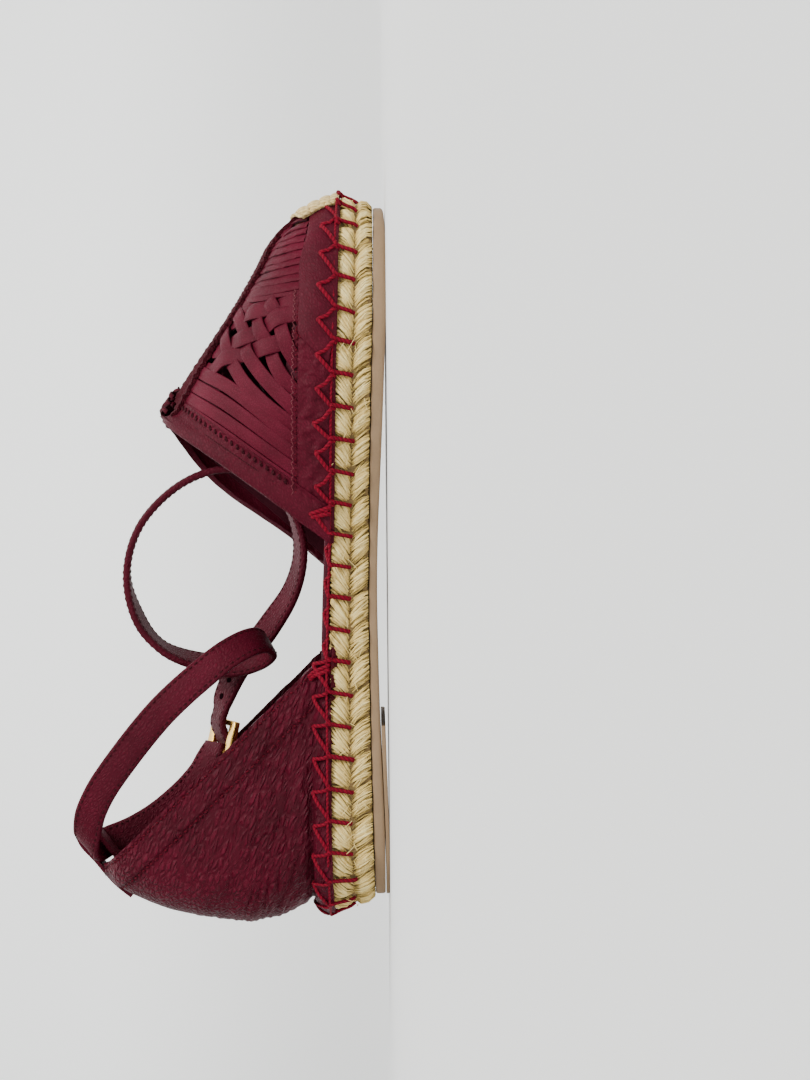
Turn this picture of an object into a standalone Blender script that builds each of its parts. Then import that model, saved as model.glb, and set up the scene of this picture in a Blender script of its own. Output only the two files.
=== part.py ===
# A left espadrille sandal: woven closed-toe vamp, open waist, closed counter, ankle strap in one
# ribbon with its buckle fastened, braided jute sole on a thin rubber outsole with a heel lift.
#
# Tables and sizes are in millimetres. X runs from the heel back (0) to the toe tip, Y to the
# shoe's outer side, Z up. The tables have the sole level; SEAT_SLOPE then leans the whole shoe
# forward so that heel and forefoot stand on one floor. MIDDLE_X and MIDDLE_Y move the finished
# pieces so that the origin lies on the floor under the middle of the shoe's box.

import bisect
import math

import bmesh
import bpy
from mathutils import Vector

MM = 0.001
MIDDLE_X = 123.11
MIDDLE_Y = 0.80
SEAT_SLOPE = 0.008          # fall of the seated shoe towards its toe
SEAT_X = 25.0               # place along the shoe that keeps its height
CLEAR = 0.3                 # gap kept between pieces that touch

# Sole outline: x, then y of its inner and outer edge.
SOLE_OUTLINE = [
    (0.0, 0.0, 0.0), (3.0, -14.0, 14.0), (10.0, -23.0, 24.0), (25.0, -29.5, 30.5),
    (45.0, -30.5, 32.0), (70.0, -29.0, 33.0), (95.0, -27.5, 34.5), (120.0, -29.5, 37.0),
    (145.0, -35.0, 41.0), (165.0, -40.5, 44.5), (180.0, -43.0, 45.0), (195.0, -43.5, 43.0),
    (210.0, -42.0, 38.5), (222.0, -39.0, 32.5), (232.0, -34.5, 25.5), (239.4, -28.5, 17.0),
    (244.9, -20.5, 7.0), (247.9, -11.5, -1.5), (248.6, -6.5, -6.5)]

# Heights of the sole's layers: x, outsole underside above the floor, rubber top, jute top.
SOLE_LAYERS = [
    (0.0, 1.5, 4.9, 19.3), (30.0, 1.6, 5.6, 19.8), (67.0, 2.9, 6.6, 20.1), (85.0, 3.3, 6.9, 20.3),
    (109.0, 3.6, 7.3, 19.9), (130.0, 3.2, 7.1, 19.2), (152.0, 2.2, 7.0, 18.8),
    (166.0, 1.5, 6.7, 18.6), (182.0, 0.8, 6.4, 18.3), (197.0, 0.2, 6.1, 17.9),
    (204.0, 0.0, 6.0, 17.7), (228.0, 0.0, 6.0, 17.4), (238.0, 0.4, 6.0, 17.2),
    (248.6, 1.3, 6.2, 17.1)]
OUTSOLE_UNDERSIDE, RUBBER_TOP, JUTE_TOP = 1, 2, 3

HEEL_BREAST_X = 67.6        # front face of the heel lift
LIFT_UNDERSIDE = [(0.0, 0.0), (28.0, 0.0), (67.6, 1.15)]        # above the floor at x
# Insets from the outline, each with the x where it holds.
OUTSOLE_INSETS = [(0.0, 7.0), (6.0, 4.6), (22.0, 1.8), (225.0, 1.6), (246.0, 4.4)]
FOOTBED_INSETS = [(0.0, 4.7), (88.0, 4.7), (97.0, 1.8), (112.0, 1.8), (126.0, 4.2), (228.0, 4.4), (244.0, 6.0)]
VAMP_INSETS = [(0.0, 0.2), (228.0, 0.2), (244.8, 2.6)]
JUTE_UNDERCUT = (4.0, 2.4)  # how far the jute's lower edge lies back at the heel and at the toe

BRAID_LOBES = 27            # lobes along each side of the jute
LOBE_RELIEF = 1.7
SAMPLES_PER_LOBE = 3
# Braid side: share of the height, inset of the row, share of the lobe relief.
BRAID_ROWS = [
    (0.0, 1.7, 0.0), (0.16, 0.2, 0.9), (0.38, 0.0, 1.0), (0.5, 1.2, 0.3),
    (0.62, 0.0, 1.0), (0.86, 0.2, 0.9), (1.0, 1.7, 0.0)]

FOOTBED_THICK = 2.4

# Vamp ridge seen from the side: x, z, y.
RIDGE_LINE = [
    (168.8, 77.8, 1.0), (176.9, 72.5, 0.4), (190.9, 63.8, -1.0), (201.4, 56.8, -2.2),
    (210.2, 51.2, -3.2), (220.0, 45.5, -4.4), (228.4, 41.0, -5.4), (233.0, 38.0, -6.0)]
# Vamp columns, the lines that run up from the sole edge: share of the way from the rear edge
# to the toe tip, x where the column meets the ridge, how far it closes in like a dome (0 to 1),
# and the fullness of its arch.
VAMP_COLUMNS = [
    (0.0, 168.8, 0.0, 2.2), (0.09, 178.5, 0.0, 2.25), (0.16, 186.5, 0.0, 2.3),
    (0.215, 193.0, 0.0, 2.3), (0.325, 203.0, 0.05, 2.3), (0.435, 211.0, 0.15, 2.25),
    (0.545, 217.0, 0.3, 2.2), (0.65, 223.0, 0.55, 2.05), (0.77, 228.0, 0.85, 1.85),
    (0.87, 231.0, 1.0, 1.6), (1.0, 233.0, 1.0, 1.35)]
VAMP_REAR_X = (128.5, 116.5)    # rear edge at the sole, inner and outer side
VAMP_WALL = 1.9
BAND_TOP = 11.2             # foxing band above the jute
BAND_STEP = 0.8
RIDGE_STRIP_HALF = 4.0
RIDGE_STEP = 1.0
BORDER_END_X = 178.0        # inner edge of the rear border, on the ridge
BORDER_STEP = 0.9
STRIP_RELIEF = 0.55
REAR_STRIP = 4.0            # pitch of the rear strips along the ridge
WEAVE_STRIP = 5.5           # pitch where the two families cross
FRONT_STRIP = 7.0           # pitch of the front strips along the shoe
WEAVE_START_X, WEAVE_END_X = 190.0, 212.0

# Gaps in the weave as seen from the side, each a list of (x, z).
WEAVE_GAPS = {
    "front": [(209.9, 36.2), (210.4, 32.2), (207.2, 34.8)],
    "small_low": [(198.4, 38.2), (198.4, 36.0), (195.2, 36.0), (195.2, 38.0)],
    "small_high": [(195.4, 44.8), (195.4, 42.2), (192.0, 43.8)],
    "long_low": [(188.6, 42.0), (189.2, 39.2), (183.6, 36.4), (177.0, 32.4), (181.0, 36.9)],
    "slit_low": [(191.2, 35.6), (190.6, 34.4), (183.6, 31.0), (185.6, 33.8)],
    "long_high": [(186.6, 58.2), (187.8, 53.4), (181.6, 48.7), (178.6, 47.0), (180.7, 51.4)],
    "slit_high": [(187.6, 49.0), (187.8, 47.4), (182.6, 43.6), (177.6, 39.6), (182.2, 45.2)]}

TOE_PATCH_THICK = 1.7
TOE_PATCH_HALF = 12.0       # half its width along the sole edge
TOE_PATCH_FLARE = 4.0
TOE_PATCH_TOP = 31.0

# Counter sections: z, x of the back, how far its sides lie inside the sole edge.
COUNTER_SECTIONS = [
    (19.0, 0.9, 0.9), (22.5, 1.8, 1.4), (25.5, 5.2, 3.4), (29.0, 2.4, 3.0), (35.0, -0.6, 3.4),
    (45.0, -2.8, 4.2), (56.0, -2.5, 5.2), (66.4, -0.8, 6.2), (77.0, 1.6, 7.8),
    (86.0, 5.0, 9.8), (92.7, 8.6, 12.2), (97.3, 13.4, 15.0)]
COUNTER_FRONT_FOOT = 91.4   # x of the front edge at the sole
COUNTER_FRONT_SLOPE = 0.94  # how far the front edge runs back for each step up
COUNTER_ROUND = 31.0        # length of the rounded back of a section
COUNTER_WALL = 2.0
COUNTER_PEAK = 1.6          # rise of the top edge at the back
FOLD_WIDTH = 9.5            # turned hem along the front edge
FOLD_STEP = 0.6
HEEL_BAND_TOP = 25.0
HEEL_BAND_LENGTH = 52.0
HEEL_BAND_STEP = 0.8

STRAP_WIDTH = 10.5
STRAP_THICK = 2.4
# Ankle strap, from the bar of the buckle through the heel loop, along the inner side, round
# the curl, round the ring and back through the buckle: centre (x, y, z) and the direction
# across the strap (x, y, z).
STRAP_ROUTE = [
    (44.5, 16.6, 68.0, 0.60, 0.30, 0.72), (37.9, 15.6, 74.6, 0.66, 0.06, 0.74),
    (31.0, 13.6, 83.0, 0.68, 0.00, 0.73), (26.2, 10.2, 91.6, 0.76, 0.00, 0.65),
    (23.6, 6.4, 99.2, 0.83, 0.00, 0.56), (22.4, 2.6, 102.0, 0.78, 0.00, 0.62),
    (22.6, -2.2, 102.8, 0.78, 0.00, 0.62), (25.2, -7.4, 104.4, 0.76, 0.00, 0.65),
    (31.0, -12.0, 103.2, 0.68, 0.00, 0.73), (39.0, -15.0, 99.8, 0.62, 0.00, 0.78),
    (48.0, -17.0, 94.3, 0.62, 0.00, 0.78), (68.1, -19.5, 77.4, 0.62, 0.00, 0.78),
    (84.0, -17.5, 63.0, 0.58, 0.00, 0.81), (93.0, -12.0, 53.6, 0.52, 0.00, 0.85),
    (98.4, -4.5, 47.0, 0.50, 0.00, 0.87), (98.0, 3.0, 46.4, 0.50, 0.05, 0.87),
    (93.0, 7.0, 52.5, 0.50, 0.25, 0.83), (88.0, 8.0, 60.0, 0.52, 0.50, 0.68),
    (87.4, 7.5, 69.5, 0.48, 0.70, 0.52), (92.0, 6.5, 80.5, 0.36, 0.86, 0.25),
    (101.8, 6.0, 88.6, 0.10, 0.95, -0.22), (118.0, 5.5, 93.0, 0.00, 0.99, -0.12),
    (135.0, 5.0, 88.4, 0.00, 1.00, 0.00), (148.6, 5.0, 75.6, 0.00, 1.00, 0.00),
    (154.8, 5.0, 60.0, 0.00, 1.00, 0.00), (151.6, 5.0, 45.0, 0.10, 0.99, 0.10),
    (140.0, 5.5, 35.0, 0.05, 0.95, 0.26), (126.5, 6.5, 31.6, 0.00, 0.90, 0.42),
    (112.5, 8.5, 34.6, 0.18, 0.82, 0.54), (99.6, 12.5, 41.6, 0.36, 0.71, 0.60),
    (86.0, 16.0, 50.6, 0.34, 0.68, 0.64), (74.0, 17.4, 57.0, 0.18, 0.76, 0.62)]
STRAP_STATIONS = 92

LOOP_WIDTH = 7.5
LOOP_THICK = 1.7
# Heel loop, in the plane y = 0, from outside the counter over the strap to its inside: (x, z).
LOOP_ROUTE = [
    (2.8, 84.0), (6.8, 93.2), (11.9, 99.6), (17.7, 102.8), (23.8, 107.7), (28.0, 108.6),
    (29.9, 105.6), (27.6, 101.4), (20.8, 96.2), (15.8, 92.0), (10.9, 85.5)]

# Buckle: the middle of its frame, the direction along the strap and the one across it.
BUCKLE_CENTRE = (58.5, 17.8, 61.5)
BUCKLE_ALONG = (-0.96, -0.10, 0.20)
BUCKLE_ACROSS = (0.09, 0.79, 0.60)
FRAME_LENGTH = 21.0         # across the strap
FRAME_DEPTH = 12.5          # along the strap
FRAME_OPENING = 13.0
FRAME_BAR = 2.8
FRAME_THICK = 2.4
STRAP_LIFT = 3.7            # how far the strap's end lies under and over the frame's bars
PRONG_RADIUS = 0.8
PRONG_HOLE = 1.25
PRONG_REACH = ((3.3, 2.35), (-5.8, 2.4))     # along and out, from the rear bar over the front bar

# Colour, roughness and metallic value of each finish.
FINISHES = {
    "burgundy_leather": ((0.16, 0.016, 0.032), 0.45, 0.0),
    "dark_lining": ((0.07, 0.01, 0.018), 0.6, 0.0),
    "jute": ((0.60, 0.46, 0.25), 0.9, 0.0),
    "cream_cotton": ((0.76, 0.62, 0.38), 0.9, 0.0),
    "taupe_rubber": ((0.32, 0.22, 0.17), 0.6, 0.0),
    "brass": ((0.80, 0.50, 0.12), 0.25, 1.0)}


def read_table(table, column, key):
    """Value of a column at key, on a smooth curve through the rows."""
    keys = [row[0] for row in table]
    key = min(max(key, keys[0]), keys[-1])
    index = min(max(bisect.bisect_right(keys, key) - 1, 0), len(keys) - 2)

    def slope(row):
        before, after = max(row - 1, 0), min(row + 1, len(keys) - 1)
        if (table[after][column] - table[row][column]) * (table[row][column]
                                                          - table[before][column]) == 0:
            return 0.0
        return (table[after][column] - table[before][column]) / (keys[after] - keys[before])

    span = keys[index + 1] - keys[index]
    t = (key - keys[index]) / span
    start, end = table[index][column], table[index + 1][column]
    return ((2 * t**3 - 3 * t**2 + 1) * start + (t**3 - 2 * t**2 + t) * span * slope(index)
            + (3 * t**2 - 2 * t**3) * end + (t**3 - t**2) * span * slope(index + 1))


def curve_through(points, steps, closed=False):
    """Points on a Catmull-Rom curve, steps of them between each two of the given points."""
    count = len(points)
    result = []
    for index in range(count if closed else count - 1):
        if closed:
            p0, p1, p2, p3 = (points[(index + k) % count] for k in (-1, 0, 1, 2))
        else:
            p0, p1, p2, p3 = (points[min(max(index + k, 0), count - 1)] for k in (-1, 0, 1, 2))
        for step in range(steps):
            t = step / steps
            result.append(0.5 * ((2 * p1) + (p2 - p0) * t + (2 * p0 - 5 * p1 + 4 * p2 - p3) * t**2
                                 + (3 * p1 - p0 - 3 * p2 + p3) * t**3))
    if not closed:
        result.append(points[-1].copy())
    return result


def resample(points, count):
    """count + 1 points at even spacing along an open line."""
    lengths = [0.0]
    for first, second in zip(points, points[1:]):
        lengths.append(lengths[-1] + (second - first).length)
    result = []
    for step in range(count + 1):
        target = lengths[-1] * step / count
        index = min(max(bisect.bisect_right(lengths, target) - 1, 0), len(points) - 2)
        span = lengths[index + 1] - lengths[index]
        t = (target - lengths[index]) / span if span else 0.0
        result.append(points[index].lerp(points[index + 1], t))
    return result


def make_sole_sides():
    """The two sides of the sole outline, dense, each from the heel back to the toe tip."""
    inner = [Vector((x, low, 0)) for x, low, high in SOLE_OUTLINE]
    outer = [Vector((x, high, 0)) for x, low, high in SOLE_OUTLINE[1:-1]]
    steps = 12
    loop = curve_through(inner + outer[::-1], steps, closed=True)
    tip = (len(inner) - 1) * steps
    return loop[:tip + 1], [loop[0]] + loop[tip:][::-1]


SOLE_SIDES = make_sole_sides()


def straight_table(rows, key):
    """Value at key on straight lines between rows of (key, value)."""
    for (low, first), (high, second) in zip(rows, rows[1:]):
        if key < high:
            return first + (second - first) * max(key - low, 0.0) / (high - low)
    return rows[-1][1]


def outline_ring(per_side, insets, extra=0.0):
    """Closed outline, evenly spaced on each side and moved inwards by the insets at its x."""
    inner, outer = (resample(side, per_side) for side in SOLE_SIDES)
    ring = inner + outer[-2:0:-1]
    count = len(ring)
    moved = []
    for index, point in enumerate(ring):
        along = ring[(index + 1) % count] - ring[index - 1]
        normal = Vector((-along.y, along.x, 0)).normalized()
        moved.append(point + normal * (straight_table(insets, point.x) + extra))
    return moved


def cap_faces(count, start):
    """Faces across a closed ring of an even count, between its two sides."""
    faces = [(start, start + 1, start + count - 1)]
    half = count // 2
    for index in range(1, half - 1):
        faces.append((start + index, start + index + 1,
                      start + count - index - 1, start + count - index))
    faces.append((start + half - 1, start + half, start + half + 1))
    return faces


def seat(x):
    """How much lower the seated shoe lies at x than its tables state."""
    return SEAT_SLOPE * (x - SEAT_X)


def finish_material(name):
    """Principled material of a finish, made once."""
    material = bpy.data.materials.get(name)
    if material:
        return material
    colour, roughness, metallic = FINISHES[name]
    material = bpy.data.materials.new(name)
    material.use_nodes = True
    shader = material.node_tree.nodes["Principled BSDF"]
    shader.inputs["Base Color"].default_value = (*colour, 1.0)
    shader.inputs["Roughness"].default_value = roughness
    shader.inputs["Metallic"].default_value = metallic
    material.diffuse_color = (*colour, 1.0)
    return material


def add_solid(name, points, faces, finish, smooth=True, guide=False):
    """Object from points in millimetres, seated on the floor, with its faces turned outwards."""
    shape = bmesh.new()
    corners = [shape.verts.new((Vector(point) - Vector((MIDDLE_X, MIDDLE_Y, seat(point[0])))) * MM)
               for point in points]
    for face in faces:
        shape.faces.new([corners[index] for index in face])
    bmesh.ops.recalc_face_normals(shape, faces=shape.faces)
    bmesh.ops.triangulate(shape, faces=shape.faces, quad_method="SHORT_EDGE")
    mesh = bpy.data.meshes.new(name)
    shape.to_mesh(mesh)
    shape.free()
    if smooth:
        mesh.shade_smooth()
        mesh.set_sharp_from_angle(angle=math.radians(40))
    solid = bpy.data.objects.new(name, mesh)
    bpy.context.scene.collection.objects.link(solid)
    mesh.materials.append(finish_material(finish))
    if guide:
        solid.hide_render = True
        solid.display_type = "WIRE"
    return solid


def stack_rings(name, rings, finish):
    """Solid between stacked closed rings, the lowest first."""
    count = len(rings[0])
    faces = cap_faces(count, 0) + cap_faces(count, count * (len(rings) - 1))
    for level in range(len(rings) - 1):
        for index in range(count):
            after = (index + 1) % count
            low, high = level * count, (level + 1) * count
            faces.append((low + index, low + after, high + after, high + index))
    return add_solid(name, [point for ring in rings for point in ring], faces, finish)


def wall_solid(name, outside, inside, finish):
    """Wall between two grids of points, closed round its rim."""
    rows, columns = len(outside), len(outside[0])
    layer = rows * columns
    faces = []
    for row in range(rows - 1):
        for column in range(columns - 1):
            a = row * columns + column
            corners = (a, a + 1, a + columns + 1, a + columns)
            faces.append(corners)
            faces.append(tuple(corner + layer for corner in reversed(corners)))
    rim = ([row * columns for row in range(rows)]
           + [(rows - 1) * columns + column for column in range(1, columns)]
           + [row * columns + columns - 1 for row in range(rows - 2, -1, -1)]
           + [column for column in range(columns - 2, 0, -1)])
    for first, second in zip(rim, rim[1:] + rim[:1]):
        faces.append((first, second, second + layer, first + layer))
    points = [point for row in outside for point in row] + [point for row in inside for point in row]
    return add_solid(name, points, faces, finish)


def at_height(ring, height):
    """Ring with each point at the height that the function gives for its x."""
    return [Vector((point.x, point.y, height(point.x))) for point in ring]


# ---- sole ----

def layer_height(column, rise=0.0):
    return lambda x: read_table(SOLE_LAYERS, column, x) + rise


def underside_height(rise=0.0):
    return lambda x: read_table(SOLE_LAYERS, OUTSOLE_UNDERSIDE, x) + seat(x) + rise


def make_outsole():
    sides = 40
    edge = 0.5
    full = outline_ring(sides, OUTSOLE_INSETS)
    eased = outline_ring(sides, OUTSOLE_INSETS, edge)
    under, over = underside_height(), layer_height(RUBBER_TOP, -CLEAR)
    rings = [at_height(eased, under), at_height(full, lambda x: under(x) + edge),
             at_height(full, lambda x: over(x) - edge), at_height(eased, over)]
    return stack_rings("outsole", rings, "taupe_rubber")


def make_heel_lift():
    """Rubber block under the heel, from its back to the heel breast."""
    steps, sides, edge = 13, 60, 0.5
    outline = outline_ring(sides, OUTSOLE_INSETS)
    line = []
    for side in (outline[:sides + 1], [outline[0]] + outline[sides:][::-1]):
        part = [point for point in side if point.x < HEEL_BREAST_X]
        last, after = part[-1], side[len(part)]
        share = (HEEL_BREAST_X - last.x) / (after.x - last.x)
        line.append(resample(part + [last.lerp(after, share)], steps))
    ring = line[0] + line[1][:0:-1]
    middle = Vector((HEEL_BREAST_X * 0.5, 1.0, 0))
    eased = [point + (middle - point).normalized() * edge for point in ring]

    def low(x):
        return straight_table(LIFT_UNDERSIDE, x) + seat(x)

    rings = [at_height(eased, low), at_height(ring, lambda x: low(x) + edge),
             at_height(ring, underside_height(-CLEAR))]
    # The ring is odd at the breast, where its two sides end in a straight edge.
    count = len(ring)
    faces = []
    for level in (0, 2):
        start = level * count
        faces.append((start, start + 1, start + count - 1))
        for index in range(1, steps):
            faces.append((start + index, start + index + 1,
                          start + count - index - 1, start + count - index))
    for level in (0, 1):
        for index in range(count):
            after = (index + 1) % count
            low, high = level * count, (level + 1) * count
            faces.append((low + index, low + after, high + after, high + index))
    points = [point for level in rings for point in level]
    return add_solid("heel_lift", points, faces, "taupe_rubber")


def make_jute_sole():
    """Braid round the sole's side: two rows of lobes, with a valley under each stitch."""
    per_side = BRAID_LOBES * SAMPLES_PER_LOBE
    under, over = layer_height(RUBBER_TOP), layer_height(JUTE_TOP)
    rings = []
    for share, inset, relief in BRAID_ROWS:
        heel, toe = (reach * (1 - share) for reach in JUTE_UNDERCUT)
        slant = [(0.0, inset + heel), (22.0, inset), (228.0, inset), (246.0, inset + toe)]
        valley = outline_ring(per_side, slant, LOBE_RELIEF * relief)
        crest = outline_ring(per_side, slant)
        ring = []
        for index, (low, high) in enumerate(zip(valley, crest)):
            place = index if index <= per_side else 2 * per_side - index
            lobe = place % SAMPLES_PER_LOBE / SAMPLES_PER_LOBE
            bulge = math.sin(math.pi * lobe) ** 0.6
            point = low.lerp(high, bulge)
            point.z = under(point.x) + (over(point.x) - under(point.x)) * share
            ring.append(point)
        rings.append(ring)
    return stack_rings("jute_sole", rings, "jute")


def make_footbed():
    sides = 34
    edge = 0.7
    low, high = layer_height(JUTE_TOP, CLEAR), layer_height(JUTE_TOP, CLEAR + FOOTBED_THICK)
    full = outline_ring(sides, FOOTBED_INSETS)
    eased = outline_ring(sides, FOOTBED_INSETS, edge)
    rings = [at_height(full, low), at_height(full, lambda x: high(x) - edge),
             at_height(eased, high)]
    return stack_rings("footbed", rings, "dark_lining")


# ---- vamp ----

class VampSide:
    """Surface of one half of the vamp, from the sole edge up to the ridge."""

    def __init__(self, side):
        middle = Vector((190.0, 0.0, 0.0))
        line = []
        for before, point, after in zip(SOLE_SIDES[side], SOLE_SIDES[side][1:],
                                        SOLE_SIDES[side][2:]):
            along = after - before
            inward = Vector((-along.y, along.x, 0)).normalized()
            if inward.dot(middle - point) < 0:
                inward = -inward
            line.append(point + inward * straight_table(VAMP_INSETS, point.x))
        line.append(SOLE_SIDES[side][-1] - Vector((VAMP_INSETS[-1][1], 0, 0)))
        rear = VAMP_REAR_X[side]
        start = next(index for index, point in enumerate(line) if point.x > rear)
        before, after = line[start - 1], line[start]
        first = before.lerp(after, (rear - before.x) / (after.x - before.x))
        self.feather = resample([first] + line[start:], 200)
        self.ridge_sides = [(row[1], row[0]) for row in VAMP_COLUMNS]

    def column(self, share):
        place = min(max(share, 0.0), 1.0) * (len(self.feather) - 1)
        index = min(int(place), len(self.feather) - 2)
        foot = self.feather[index].lerp(self.feather[index + 1], place - index)
        foot.z = read_table(SOLE_LAYERS, JUTE_TOP, foot.x) + CLEAR
        ridge_x = read_table(VAMP_COLUMNS, 1, share)
        top = Vector((ridge_x, read_table(RIDGE_LINE, 2, ridge_x),
                      read_table(RIDGE_LINE, 1, ridge_x)))
        dome = read_table(VAMP_COLUMNS, 2, share)
        return foot, top, dome, read_table(VAMP_COLUMNS, 3, share)

    def share_of_ridge(self, ridge_x):
        return read_table(self.ridge_sides, 1, ridge_x)

    def point(self, share, angle):
        """Point of a column, angle 0 at the sole edge and 90 degrees at the ridge."""
        foot, top, dome, fullness = self.column(share)
        rise = max(math.sin(angle), 0.0) ** (2 / fullness)
        close = 1 - max(math.cos(angle), 0.0) ** (2 / fullness)
        forward = rise + (close - rise) * dome
        return Vector((foot.x + (top.x - foot.x) * forward,
                       foot.y + (top.y - foot.y) * close,
                       foot.z + (top.z - foot.z) * rise))

    def normal(self, share, angle):
        step_share, step_angle = 0.004, 0.01
        low, high = max(share - step_share, 0.0), min(share + step_share, 1.0)
        angle = min(max(angle, 0.03), math.pi / 2 - 0.03)
        along = self.point(high, angle) - self.point(low, angle)
        up = self.point(share, angle + step_angle) - self.point(share, angle - step_angle)
        normal = along.cross(up).normalized()
        foot, top, _, _ = self.column(share)
        outward = foot - Vector((190.0, 0.0, 0.0))
        outward.z = 25.0
        return normal if normal.dot(outward) > 0 else -normal

    def band_angle(self, share):
        """Angle at which the column passes the top of the foxing band."""
        foot, top, _, fullness = self.column(share)
        rise = min(BAND_TOP / (top.z - foot.z), 0.85)
        return math.asin(rise ** (fullness / 2))

    def strip_angle(self, share):
        """Angle at which the column meets the edge of the ridge strip."""
        foot, top, _, fullness = self.column(share)
        reach = (Vector((foot.x, foot.y)) - Vector((top.x, top.y))).length
        left = min(RIDGE_STRIP_HALF / reach, 0.9)
        return math.acos(left ** (fullness / 2))

    def find(self, x, z):
        """Share and angle of the point seen at (x, z) from the side."""
        low, high = 0.0, 1.0
        angle = 0.0
        for _ in range(40):
            share = (low + high) / 2
            foot, top, _, fullness = self.column(share)
            rise = min(max((z - foot.z) / (top.z - foot.z), 0.0), 1.0)
            angle = math.asin(rise ** (fullness / 2))
            if self.point(share, angle).x < x:
                low = share
            else:
                high = share
        return share, angle


def triangle_wave(value):
    """0 at whole numbers, 1 half way between them."""
    return 1 - abs((value % 1.0) * 2 - 1)


def strip_height(ridge_x, point):
    """Relief of the leather strips over the vamp's base surface."""
    if ridge_x < WEAVE_START_X:
        return STRIP_RELIEF * (2 * triangle_wave((ridge_x - BORDER_END_X) / REAR_STRIP) - 1)
    if point.x > WEAVE_END_X:
        return STRIP_RELIEF * (2 * triangle_wave((point.x - WEAVE_END_X) / FRONT_STRIP) - 1)
    rear = (ridge_x - WEAVE_START_X) / WEAVE_STRIP
    front = (WEAVE_END_X - point.x) / FRONT_STRIP
    over = (math.floor(rear) + math.floor(front)) % 2 == 0
    raised = triangle_wave(front) if over else triangle_wave(rear)
    return STRIP_RELIEF * (2 * raised - 1)


def vamp_shares(side):
    """Columns of the grid: the border's edge, each strip's edges and middle, then the toe."""
    marks = [168.8, 170.5, 173.0, BORDER_END_X - 0.6, BORDER_END_X]
    marks += [BORDER_END_X + REAR_STRIP / 2 * step for step in range(1, 7)]
    marks += [WEAVE_START_X + WEAVE_STRIP / 2 * step for step in range(1, 9)]
    shares = [side.share_of_ridge(mark) for mark in marks]
    toe_columns = 13
    last = shares[-1]
    shares += [last + (1.0 - last) * step / toe_columns for step in range(1, toe_columns + 1)]
    return shares


def vamp_column_points(side, share):
    """Outside and inside points of one column, from the sole edge to the ridge."""
    ridge_x = read_table(VAMP_COLUMNS, 1, share)
    border = ridge_x < BORDER_END_X - 0.3
    band, strip = side.band_angle(share), side.strip_angle(share)
    weave_rows = 8
    angles = [(0.0, BAND_STEP * 0.4), (band * 0.5, BAND_STEP * 1.3), (band, BAND_STEP)]
    for row in range(weave_rows + 1):
        angle = band + 0.02 + (strip - band - 0.04) * row / weave_rows
        height = BORDER_STEP if border else strip_height(ridge_x, side.point(share, angle))
        angles.append((angle, height if 0 < row < weave_rows or border else -STRIP_RELIEF))
    angles += [(strip, RIDGE_STEP), (math.pi / 2, RIDGE_STEP)]
    outside, inside = [], []
    for angle, height in angles:
        point, normal = side.point(share, angle), side.normal(share, angle)
        if angle == math.pi / 2:
            normal = Vector((normal.x, 0, normal.z)).normalized()
        if angle == 0.0:
            normal = Vector((normal.x, normal.y, 0)).normalized()
        outside.append(point + normal * height)
        inside.append(point - normal * VAMP_WALL)
    return outside, inside


def make_vamp(sides):
    """One hollow wall over both sides; the ridge row is shared."""
    grids = [[vamp_column_points(side, share) for share in vamp_shares(side)] for side in sides]
    columns = len(grids[0])
    ridge = len(grids[0][0][0]) - 1
    outside, inside = [], []
    for layer, target in ((0, outside), (1, inside)):
        for row in range(ridge + 1):
            target.append([grids[0][column][layer][row] for column in range(columns)]
                          + [grids[1][column][layer][row] for column in range(columns - 2, -1, -1)])
        # Both sides end on the same ridge line, so its points are made equal.
        for column in range(columns - 1):
            mirror = 2 * (columns - 1) - column
            shared = (target[ridge][column] + target[ridge][mirror]) / 2
            target[ridge][column] = shared
            target[ridge][mirror] = shared
    count = 2 * columns - 1
    points, numbers = [], {}

    def number(layer, row, column):
        if row == ridge and column > columns - 1:
            column = count - 1 - column
        key = (layer, row, column)
        if key not in numbers:
            numbers[key] = len(points)
            points.append((outside if layer == 0 else inside)[row][column])
        return numbers[key]

    faces = []
    for layer in (0, 1):
        for row in range(ridge):
            for column in range(count - 1):
                corners = [number(layer, row, column), number(layer, row, column + 1),
                           number(layer, row + 1, column + 1), number(layer, row + 1, column)]
                faces.append(corners if layer == 0 else corners[::-1])
    rim = [(0, column) for column in range(count)]
    rim += [(row, count - 1) for row in range(1, ridge + 1)]
    rim += [(row, 0) for row in range(ridge - 1, 0, -1)]
    for first, second in zip(rim, rim[1:] + rim[:1]):
        faces.append([number(0, *second), number(0, *first), number(1, *first), number(1, *second)])
    vamp = add_solid("vamp", points, faces, "burgundy_leather")
    cutter = make_gap_cutter(sides)
    cut = vamp.modifiers.new("weave_gaps", "BOOLEAN")
    cut.operation = "DIFFERENCE"
    cut.object = cutter
    return vamp


def make_gap_cutter(sides):
    """Prisms square to the wall, one for each gap in the weave."""
    reach = 5.0
    points, faces = [], []
    for side in sides:
        for gap in WEAVE_GAPS.values():
            places = [side.find(x, z) for x, z in gap]
            normal = sum((side.normal(*place) for place in places), Vector()).normalized()
            start, corners = len(points), len(gap)
            surface = [side.point(*place) for place in places]
            points += [point - normal * reach for point in surface]
            points += [point + normal * reach for point in surface]
            faces.append([start + index for index in range(corners)][::-1])
            faces.append([start + corners + index for index in range(corners)])
            for index in range(corners):
                after = (index + 1) % corners
                faces.append([start + index, start + after,
                              start + corners + after, start + corners + index])
    return add_solid("weave_gap_cutter", points, faces, "dark_lining", smooth=False, guide=True)


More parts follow.
